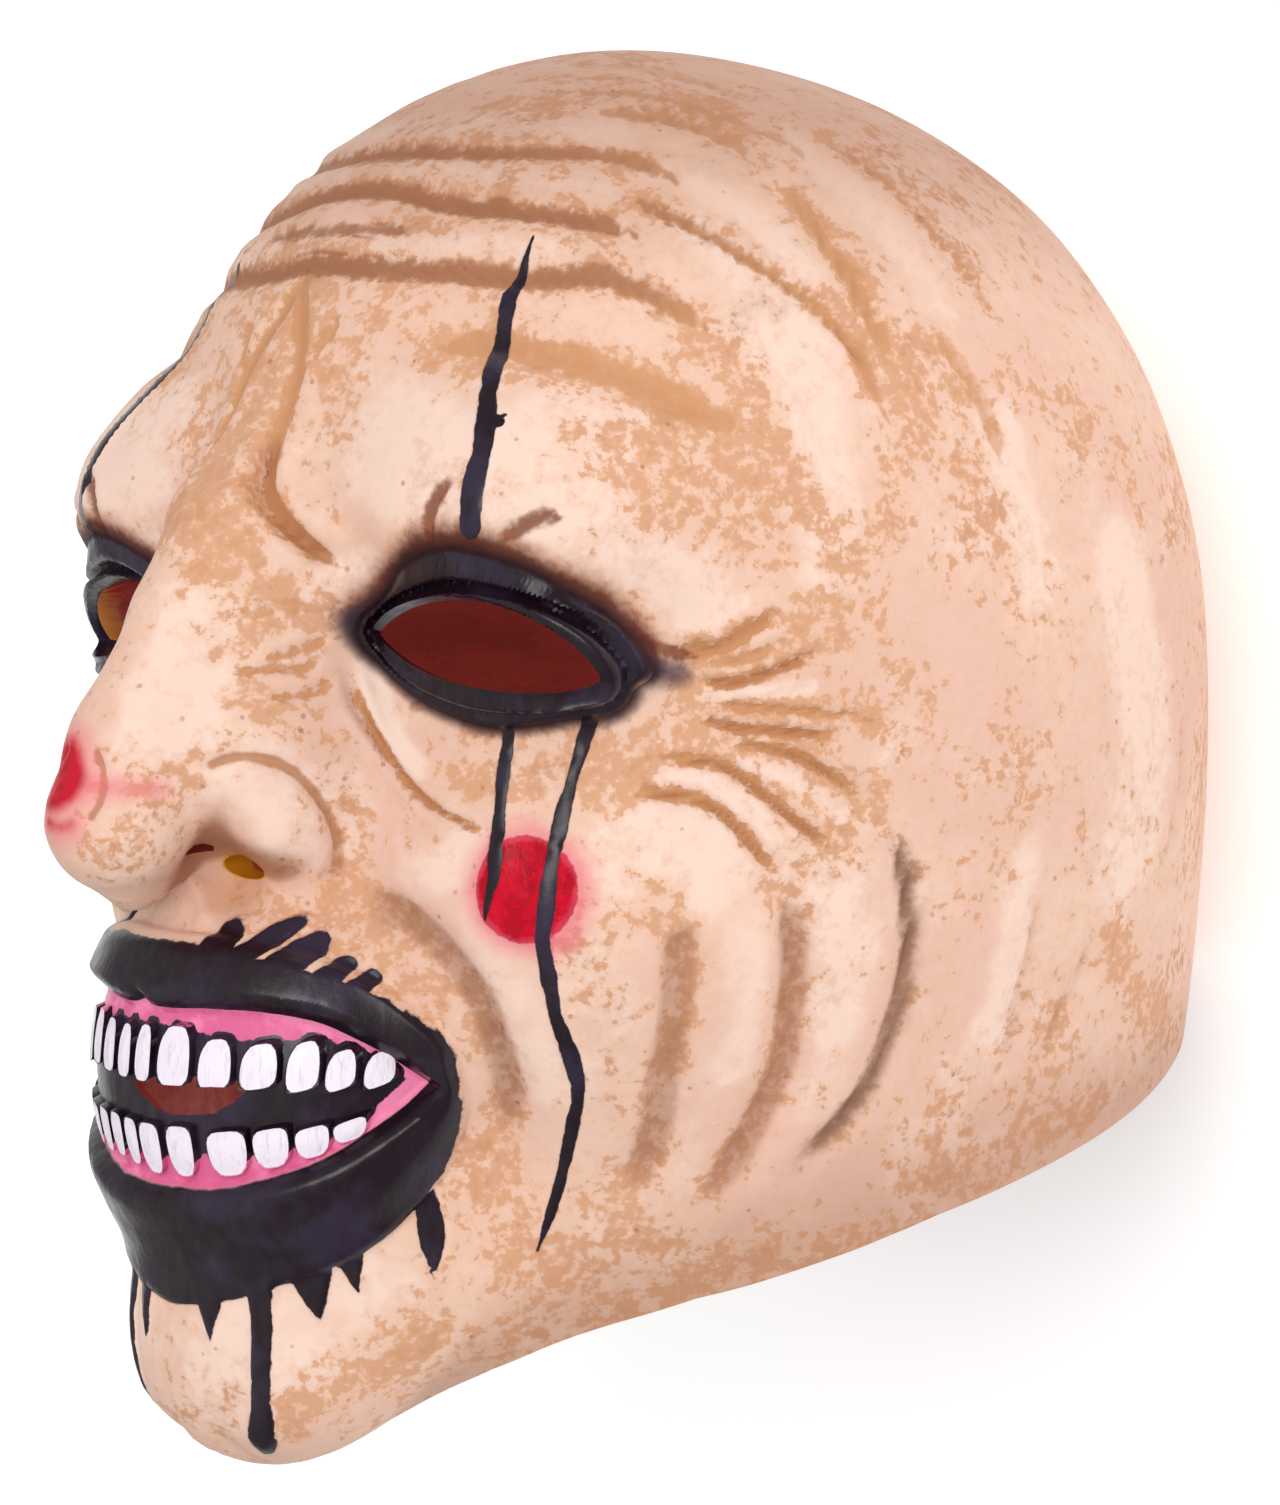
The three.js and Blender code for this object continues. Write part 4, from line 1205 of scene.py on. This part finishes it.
def latexGrainGroup():
    # fine pores, pits and soft unevenness of cast latex
    group = bpy.data.node_groups.new("latexGrain", "ShaderNodeTree")
    group.interface.new_socket("Place", in_out="INPUT", socket_type="NodeSocketVector")
    group.interface.new_socket("Pits", in_out="OUTPUT", socket_type="NodeSocketFloat")
    group.interface.new_socket("Height", in_out="OUTPUT", socket_type="NodeSocketFloat")
    start = node(group, "NodeGroupInput")
    end = node(group, "NodeGroupOutput")
    place = start.outputs["Place"]
    cells = node(group, "ShaderNodeTexVoronoi")
    group.links.new(place, cells.inputs["Vector"])
    cells.inputs["Scale"].default_value = 1 / 4.2
    spot = fade(group, cells.outputs["Distance"], 0.07, 0.14, 1.0, 0.0)
    pits = times(group, spot, fade(group, grain(group, place, 9.0), 0.5, 0.62))
    soft = times(group, grain(group, place, 2.4, 3.0, 0.6), 0.5)
    fine = times(group, grain(group, place, 0.55, 2.0, 0.6), 0.12)
    height = calc(group, "SUBTRACT", calc(group, "ADD", soft, fine), times(group, pits, 0.5))
    group.links.new(pits, end.inputs["Pits"])
    group.links.new(height, end.inputs["Height"])
    return group


latexGrain = latexGrainGroup()


def placeGrain(tree, place):
    made = node(tree, "ShaderNodeGroup", node_tree=latexGrain)
    tree.links.new(place, made.inputs["Place"])
    return made.outputs["Pits"], made.outputs["Height"]


skinLook = {
    "cream": paint(229, 192, 172),
    "rose": paint(224, 184, 166),
    "pale": paint(237, 208, 193),
    "lightTan": paint(220, 175, 148),
    "tan": paint(209, 157, 123),
    "ochreTan": paint(199, 144, 102),
    "bandBrown": paint(150, 99, 70),
    "brown": paint(152, 94, 62),
    "greyBrown": paint(122, 92, 80),
    "redBrown": paint(92, 38, 28),
    "dusk": paint(74, 58, 74),
    "black": paint(26, 11, 22),
    # lighter purple black: partly worn paint, partly painted sheen
    "blackWornAndSheen": paint(46, 34, 56),
    "red": paint(196, 0, 36),
    "redDark": paint(172, 1, 30),
    "redPale": paint(206, 74, 96),
    "halo": paint(226, 112, 128),
    "gum": paint(240, 136, 176),
    "gumDark": paint(220, 104, 150),
    "tooth": paint(238, 228, 240),
    "toothShade": paint(214, 204, 220),
    "ochre": paint(196, 132, 30),
}


def away(tree, value, amount):
    # noise turned to plus or minus about half the amount
    return times(tree, calc(tree, "SUBTRACT", value, 0.5), amount)


def addUp(tree, *values):
    total = values[0]
    for value in values[1:]:
        total = calc(tree, "ADD", total, value)
    return total


def lineInside(tree, name):
    # mm inside the nearest painted line, from its signed offset, half width and the way past its end
    offset, past = field(tree, name + "Offset"), field(tree, name + "Past")
    square = calc(tree, "MULTIPLY_ADD", past, past, times(tree, offset, offset))
    return calc(tree, "SUBTRACT", field(tree, name + "Width"), calc(tree, "SQRT", square))


def paintedLatex():
    material, tree, shader = newMaterial(
        "paintedLatex", {"Specular IOR Level": 0.12, "Coat Roughness": 0.24}
    )
    look = skinLook
    place = millimetres(tree)
    shifted = millimetres(tree, (1, 1, 1), (31, 17, 5))
    pits, height = placeGrain(tree, place)
    wide = grain(tree, place, 48.0, 2.0, 0.5)
    medium = grain(tree, shifted, 17.0, 4.0, 0.6)
    sponge = grain(tree, place, 3.6, 5.0, 0.62, 0.25)
    speckle = grain(tree, shifted, 1.7, 3.0, 0.6)
    brush = grain(tree, millimetres(tree, (1, 0.25, 1)), 2.2, 3.0, 0.6)
    axes = node(tree, "ShaderNodeSeparateXYZ")
    tree.links.new(place, axes.inputs[0])
    wash, pale, groove, shoulder = (field(tree, name) for name in ("wash", "pale", "groove", "shoulder"))

    # tan latex under pale paint that was dabbed on with a sponge: torn edges, flecks and pinholes
    tear = addUp(tree, away(tree, medium, 2.8), away(tree, sponge, 4.2), away(tree, speckle, 2.2))
    bare = addUp(tree, times(tree, wash, 1.15), times(tree, pale, -0.75), times(tree, groove, 0.35))
    bare = addUp(tree, bare, times(tree, shoulder, -0.5), tear)
    cream = blendColour(tree, fade(tree, wide, 0.4, 0.6), look["cream"], look["rose"])
    cream = blendColour(
        tree,
        fade(tree, addUp(tree, pale, away(tree, medium, 3.0)), -0.1, 0.7, 0.0, 0.85),
        cream,
        look["pale"],
    )
    tan = blendColour(
        tree,
        fade(tree, addUp(tree, bare, away(tree, speckle, 2.0)), 0.5, 0.9),
        look["lightTan"],
        look["tan"],
    )
    tan = blendColour(tree, fade(tree, bare, 1.15, 1.7, 0.0, 0.6), tan, look["ochreTan"])
    colour = blendColour(tree, fade(tree, bare, -0.7, 0.4, 0.0, 0.42), cream, look["lightTan"])

    def lay(mask, over):
        # covers the colour so far where the mask is 1
        nonlocal colour
        colour = blendColour(tree, mask, colour, over)

    lay(fade(tree, bare, 0.36, 0.6, 0.0, 0.92), tan)

    # the bottoms of the folds, where the paint has not reached, with painted shade in the deeper folds and the
    # furrows; then painted shade under the nose, at the crown and by the neck's edge
    torn = addUp(tree, away(tree, sponge, 3.2), away(tree, speckle, 1.6))
    band = fade(tree, addUp(tree, lineInside(tree, "band"), times(tree, torn, 1.3)), -0.8, 1.0, 0.0, 0.88)
    band = times(
        tree, times(tree, band, fade(tree, field(tree, "band"), -0.9, -0.1)), field(tree, "bandTone")
    )
    crease = times(
        tree, fade(tree, addUp(tree, field(tree, "crease"), torn), -0.4, 0.4), field(tree, "creaseTone")
    )
    front = fade(tree, axes.outputs["Z"], 40.0, 80.0)
    high = fade(tree, axes.outputs["Y"], 70.0, 92.0)
    bandTone = blendColour(tree, times(tree, front, high), look["ochreTan"], look["bandBrown"])
    lay(band, bandTone)
    lay(crease, look["ochreTan"])
    # darker brown in the deepest fold bottoms, by the fold's depth: partly brown wash, partly painted shade
    deep = fade(tree, groove, 0.5, 1.4, 0.0, 0.42)
    lay(deep, look["brown"])
    # grey-brown along the long furrows of the cheeks and jaw: partly brown paint in them, partly painted shade
    furrow = calc(tree, "ADD", field(tree, "furrow"), times(tree, tear, 0.12))
    lay(fade(tree, furrow, 0.12, 1.0, 0.0, 0.8), look["greyBrown"])
    # painted shade under the nose where the surface faces down, and in the hollow beside each nostril
    lay(times(tree, fade(tree, field(tree, "underNoseShade"), 0.05, 0.8), 0.8), look["brown"])
    lay(times(tree, field(tree, "basin"), 0.85), look["ochreTan"])
    noseCrease = fade(
        tree, addUp(tree, field(tree, "noseCrease"), away(tree, sponge, 0.7)), 0.5, 0.85, 0.0, 0.85
    )
    lay(noseCrease, blendColour(tree, 0.5, look["brown"], look["ochreTan"]))
    lash = fade(tree, addUp(tree, field(tree, "lash"), away(tree, speckle, 1.2)), -0.7, 0.4, 0.0, 0.9)
    lay(lash, blendColour(tree, 0.5, look["brown"], look["redBrown"]))
    lay(times(tree, pits, 0.5), look["brown"])
    # painted shade: browner towards the crown, which the light reaches less
    crown = fade(tree, addUp(tree, axes.outputs["Y"], away(tree, medium, 40.0)), 74.0, 122.0, 0.0, 0.5)
    lay(crown, look["bandBrown"])
    # painted shade: browner near the neck's edge, low on the jaw
    low = fade(tree, axes.outputs["Y"], -60.0, -35.0, 1.0, 0.0)
    lowEdgeShade = times(
        tree,
        fade(tree, addUp(tree, field(tree, "opening"), away(tree, medium, 14.0)), 2.0, 30.0, 0.4, 0.0),
        low,
    )
    lay(lowEdgeShade, look["bandBrown"])

    # airbrushed haze round the eyes
    hazeLevel = addUp(
        tree,
        field(tree, "haze"),
        away(tree, medium, 0.9),
        away(tree, sponge, 0.3),
        away(tree, speckle, 0.3),
    )
    duskLevel = addUp(tree, field(tree, "dusk"), away(tree, medium, 0.5), away(tree, speckle, 0.25))
    lay(fade(tree, hazeLevel, 0.05, 0.6, 0.0, 0.6), look["brown"])
    lay(fade(tree, hazeLevel, 0.4, 0.85, 0.0, 0.92), look["redBrown"])
    lay(fade(tree, duskLevel, 0.1, 0.9, 0.0, 0.8), look["dusk"])
    lidEdge = field(tree, "lidEdge")
    lay(fade(tree, addUp(tree, lidEdge, away(tree, medium, 2.0)), 0.0, 2.8, 0.95, 0.0), look["black"])

    # pink and red airbrush on the cheeks and nose
    disc = addUp(tree, field(tree, "disc"), away(tree, speckle, 0.9))
    lay(fade(tree, addUp(tree, disc, away(tree, medium, 6.0)), -5.0, 0.6, 0.0, 0.75), look["halo"])
    pink = addUp(tree, field(tree, "nosePink"), away(tree, medium, 6.0), away(tree, speckle, 2.0))
    lay(fade(tree, pink, 0.0, 4.6, 0.6, 0.0), look["halo"])
    tip = addUp(tree, field(tree, "noseRed"), away(tree, medium, 3.0), away(tree, speckle, 1.0))
    lay(fade(tree, tip, 3.0, 9.5, 0.7, 0.0), look["halo"])
    discMask = fade(tree, disc, -0.2, 0.2)
    redMask = calc(tree, "MAXIMUM", fade(tree, tip, 2.4, 5.4, 0.97, 0.0), discMask)
    redTone = blendColour(tree, fade(tree, sponge, 0.44, 0.58), look["red"], look["redDark"])
    rim = fade(tree, addUp(tree, disc, away(tree, sponge, 2.4)), 0.2, 1.3, 0.6, 0.0)
    redTone = blendColour(tree, times(tree, rim, discMask), redTone, look["redPale"])
    lay(redMask, redTone)

    # gums, black paint and teeth
    edge = away(tree, grain(tree, shifted, 3.0, 3.0, 0.6), 1.4)
    gumMask = fade(tree, addUp(tree, field(tree, "gums"), away(tree, medium, 1.0)), 0.4, 0.65)
    gumTone = blendColour(
        tree,
        fade(tree, addUp(tree, medium, away(tree, sponge, 0.6)), 0.42, 0.6),
        look["gum"],
        look["gumDark"],
    )
    teeth = addUp(tree, field(tree, "teeth"), away(tree, speckle, 0.8))
    scallop = addUp(tree, field(tree, "darkMouth"), fade(tree, teeth, -1.1, -0.2, 0.0, 1.1), edge)
    darkMask = fade(tree, scallop, 0.3, 0.6)
    black = calc(
        tree,
        "MAXIMUM",
        field(tree, "lips"),
        calc(tree, "MAXIMUM", field(tree, "drip"), lineInside(tree, "line")),
    )
    blackMask = fade(tree, addUp(tree, black, times(tree, edge, 0.6)), -0.1, 0.1)
    blackMask = times(tree, blackMask, calc(tree, "SUBTRACT", 1.0, gumMask))
    lidMask = fade(tree, addUp(tree, lidEdge, times(tree, edge, 0.6)), -0.5, 0.4, 1.0, 0.0)
    blackMask = calc(
        tree, "MAXIMUM", calc(tree, "MAXIMUM", blackMask, lidMask), times(tree, darkMask, gumMask)
    )
    # black paint with lighter purple patches: partly worn paint, partly painted sheen
    blackTone = blendColour(
        tree, fade(tree, medium, 0.45, 0.62, 0.0, 0.8), look["black"], look["blackWornAndSheen"]
    )
    lay(gumMask, gumTone)
    lay(blackMask, blackTone)
    toothMask = fade(tree, field(tree, "teeth"), -0.03, 0.03)
    streak = grain(tree, millimetres(tree, (1, 0.12, 1)), 0.8, 3.0, 0.7)
    toothTone = blendColour(tree, fade(tree, streak, 0.5, 0.72), look["tooth"], look["toothShade"])
    lay(toothMask, toothTone)
    lay(fade(tree, field(tree, "nostril"), 1.03, 1.1, 1.0, 0.0), look["ochre"])
    tree.links.new(colour, shader.inputs["Base Color"])

    painted = calc(tree, "MAXIMUM", blackMask, calc(tree, "MAXIMUM", redMask, gumMask))
    rough = blendValue(
        tree, painted, fade(tree, medium, 0.3, 0.7, 0.5, 0.62), fade(tree, brush, 0.3, 0.7, 0.24, 0.36)
    )
    tree.links.new(rough, shader.inputs["Roughness"])
    tree.links.new(
        times(tree, blackMask, fade(tree, brush, 0.3, 0.7, 0.45, 0.25)), shader.inputs["Coat Weight"]
    )

    # relief too fine for the mesh: paint edges, brush marks, pores
    total = addUp(
        tree,
        times(tree, height, 0.32),
        fade(tree, black, -0.35, 0.25, 0.0, 0.3),
        times(tree, times(tree, painted, brush), 0.2),
        times(tree, times(tree, toothMask, streak), 0.3),
        times(tree, crease, -0.25),
    )
    bump = node(tree, "ShaderNodeBump")
    bump.inputs["Strength"].default_value = 0.7
    bump.inputs["Distance"].default_value = 0.001
    tree.links.new(total, bump.inputs["Height"])
    tree.links.new(bump.outputs["Normal"], shader.inputs["Normal"])
    return material


# inside the mask: bare ochre latex near the openings; further in it is painted dark red-brown as painted shade
liningLook = {
    "bare": paint(184, 128, 50),
    "aged": paint(146, 92, 44),
    # painted shade: dark red-brown further inside, away from the openings
    "shadow": paint(150, 56, 42),
    "deep": paint(122, 40, 32),
    "glow": (0.055, 0.006, 0.005, 1.0),  # painted light: a faint red glow, so that the inside is not black, as if lit through the latex
}


def bareLatexAndShade():
    # the emission is painted light: a faint red glow of the inside
    settings = {"Specular IOR Level": 0.3, "Emission Color": liningLook["glow"], "Emission Strength": 1.0}
    material, tree, shader = newMaterial("bareLatexAndShade", settings)
    look = liningLook
    place = millimetres(tree)
    pits, height = placeGrain(tree, place)
    cloud = grain(tree, place, 34.0, 4.0, 0.6)
    runs = grain(tree, millimetres(tree, (1, 1, 0.2)), 9.0, 4.0, 0.6)
    edge = blendColour(tree, fade(tree, cloud, 0.35, 0.65), look["bare"], look["aged"])
    # painted shade: away from the openings the inside is dark red-brown
    inside = blendColour(tree, fade(tree, runs, 0.4, 0.65), look["shadow"], look["deep"])
    opening = addUp(tree, field(tree, "opening"), away(tree, cloud, 3.0))
    colour = blendColour(tree, fade(tree, opening, 0.0, 2.6), edge, inside)
    colour = blendColour(tree, times(tree, pits, 0.5), colour, look["shadow"])
    tree.links.new(colour, shader.inputs["Base Color"])
    tree.links.new(fade(tree, runs, 0.3, 0.7, 0.5, 0.72), shader.inputs["Roughness"])
    bump = node(tree, "ShaderNodeBump")
    bump.inputs["Strength"].default_value = 0.5
    bump.inputs["Distance"].default_value = 0.001
    tree.links.new(height, bump.inputs["Height"])
    tree.links.new(bump.outputs["Normal"], shader.inputs["Normal"])
    return material


# The object

print("building the mask")
mask = buildMask()
mask.data.materials.clear()
mask.data.materials.append(paintedLatex())
mask.data.materials.append(bareLatexAndShade())
paintMask(mask)
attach(mask, "root")
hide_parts("mask_shell")


# Floor, light and camera

stageLook = {
    "floorColour": paint(250, 250, 250),
    "skyTop": 0.86,
    "skyEdge": 0.28,
    "keyEnergy": 8.9,
    "fillEnergy": 1.5,
}
cameraLook = {
    "turn": 45.0,  # degrees from the front of the face towards the wearer's left
    "rise": 5.5,
    "distance": 0.650,
    "offset": (-0.01073, -0.00244),  # of the view's middle from the head's middle, right and up
    "halfHeight": 0.14674,  # of the view at the head's middle
}

floorMesh = bpy.data.meshes.new("floor")
shape = bmesh.new()
bmesh.ops.create_grid(shape, x_segments=8, y_segments=8, size=20)
shape.to_mesh(floorMesh)
shape.free()
floor = addPiece("floor", floorMesh)
floorPaint, tree, shader = newMaterial(
    "paleFloor", {"Specular IOR Level": 0.2, "Emission Color": (1, 1, 1, 1), "Emission Strength": 0.3}
)
cloud = grain(tree, millimetres(tree), 400.0, 3.0, 0.5)
tree.links.new(
    blendColour(
        tree, fade(tree, cloud, 0.3, 0.7, 0.0, 0.3), stageLook["floorColour"], paint(244, 243, 242)
    ),
    shader.inputs["Base Color"],
)
tree.links.new(fade(tree, cloud, 0.3, 0.7, 0.7, 0.8), shader.inputs["Roughness"])
floorMesh.materials.append(floorPaint)

turn, rise = math.radians(cameraLook["turn"]), math.radians(cameraLook["rise"])
towards = Vector((math.sin(turn) * math.cos(rise), math.sin(rise), math.cos(turn) * math.cos(rise)))
right = Vector((math.cos(turn), 0, -math.sin(turn)))
up = towards.cross(right)
middle = Vector(headMiddle / 1000)


def aim(thing, location, target, upward):
    back = (location - target).normalized()
    sideways = upward.cross(back).normalized()
    turned = Matrix((sideways, back.cross(sideways), back)).transposed()
    thing.matrix_world = Matrix.Translation(location) @ turned.to_4x4()


camera = bpy.data.objects.new("camera", bpy.data.cameras.new("camera"))
scene.collection.objects.link(camera)
aimPoint = middle + right * cameraLook["offset"][0] + up * cameraLook["offset"][1]
aim(camera, middle + towards * cameraLook["distance"], aimPoint, up)
camera.data.sensor_width = 36
camera.data.lens = 18 * cameraLook["distance"] / cameraLook["halfHeight"]
camera.data.clip_start = 0.01
scene.camera = camera


def softLight(name, location, target, size, energy, colour):
    lamp = bpy.data.lights.new(name, "AREA")
    lamp.shape = "DISK"
    lamp.size = size
    lamp.energy = energy
    lamp.color = colour
    made = bpy.data.objects.new(name, lamp)
    scene.collection.objects.link(made)
    aim(made, location, target, Vector((0.1, 0.2, 1)))


softLight(
    "keyLight",
    middle + (towards - right * 0.16 + up * 0.22) * 1.35,
    middle,
    0.8,
    stageLook["keyEnergy"],
    (1, 0.985, 0.965),
)
softLight(
    "fillLight",
    middle + (towards * 0.6 + right * 0.9 - up * 0.1) * 1.4,
    middle,
    1.2,
    stageLook["fillEnergy"],
    (0.98, 0.985, 1),
)

world = bpy.data.worlds.new("studio")  # a white ceiling over dimmer walls
world.use_nodes = True
tree = world.node_tree
axes = node(tree, "ShaderNodeSeparateXYZ")
tree.links.new(node(tree, "ShaderNodeTexCoord").outputs["Generated"], axes.inputs[0])
background = tree.nodes["Background"]
tree.links.new(
    fade(tree, axes.outputs["Z"], 0.0, 0.9, stageLook["skyEdge"], stageLook["skyTop"]),
    background.inputs["Strength"],
)
background.inputs["Color"].default_value = (1, 1, 1, 1)
scene.world = world
scene.view_settings.view_transform = "Standard"

print("done")
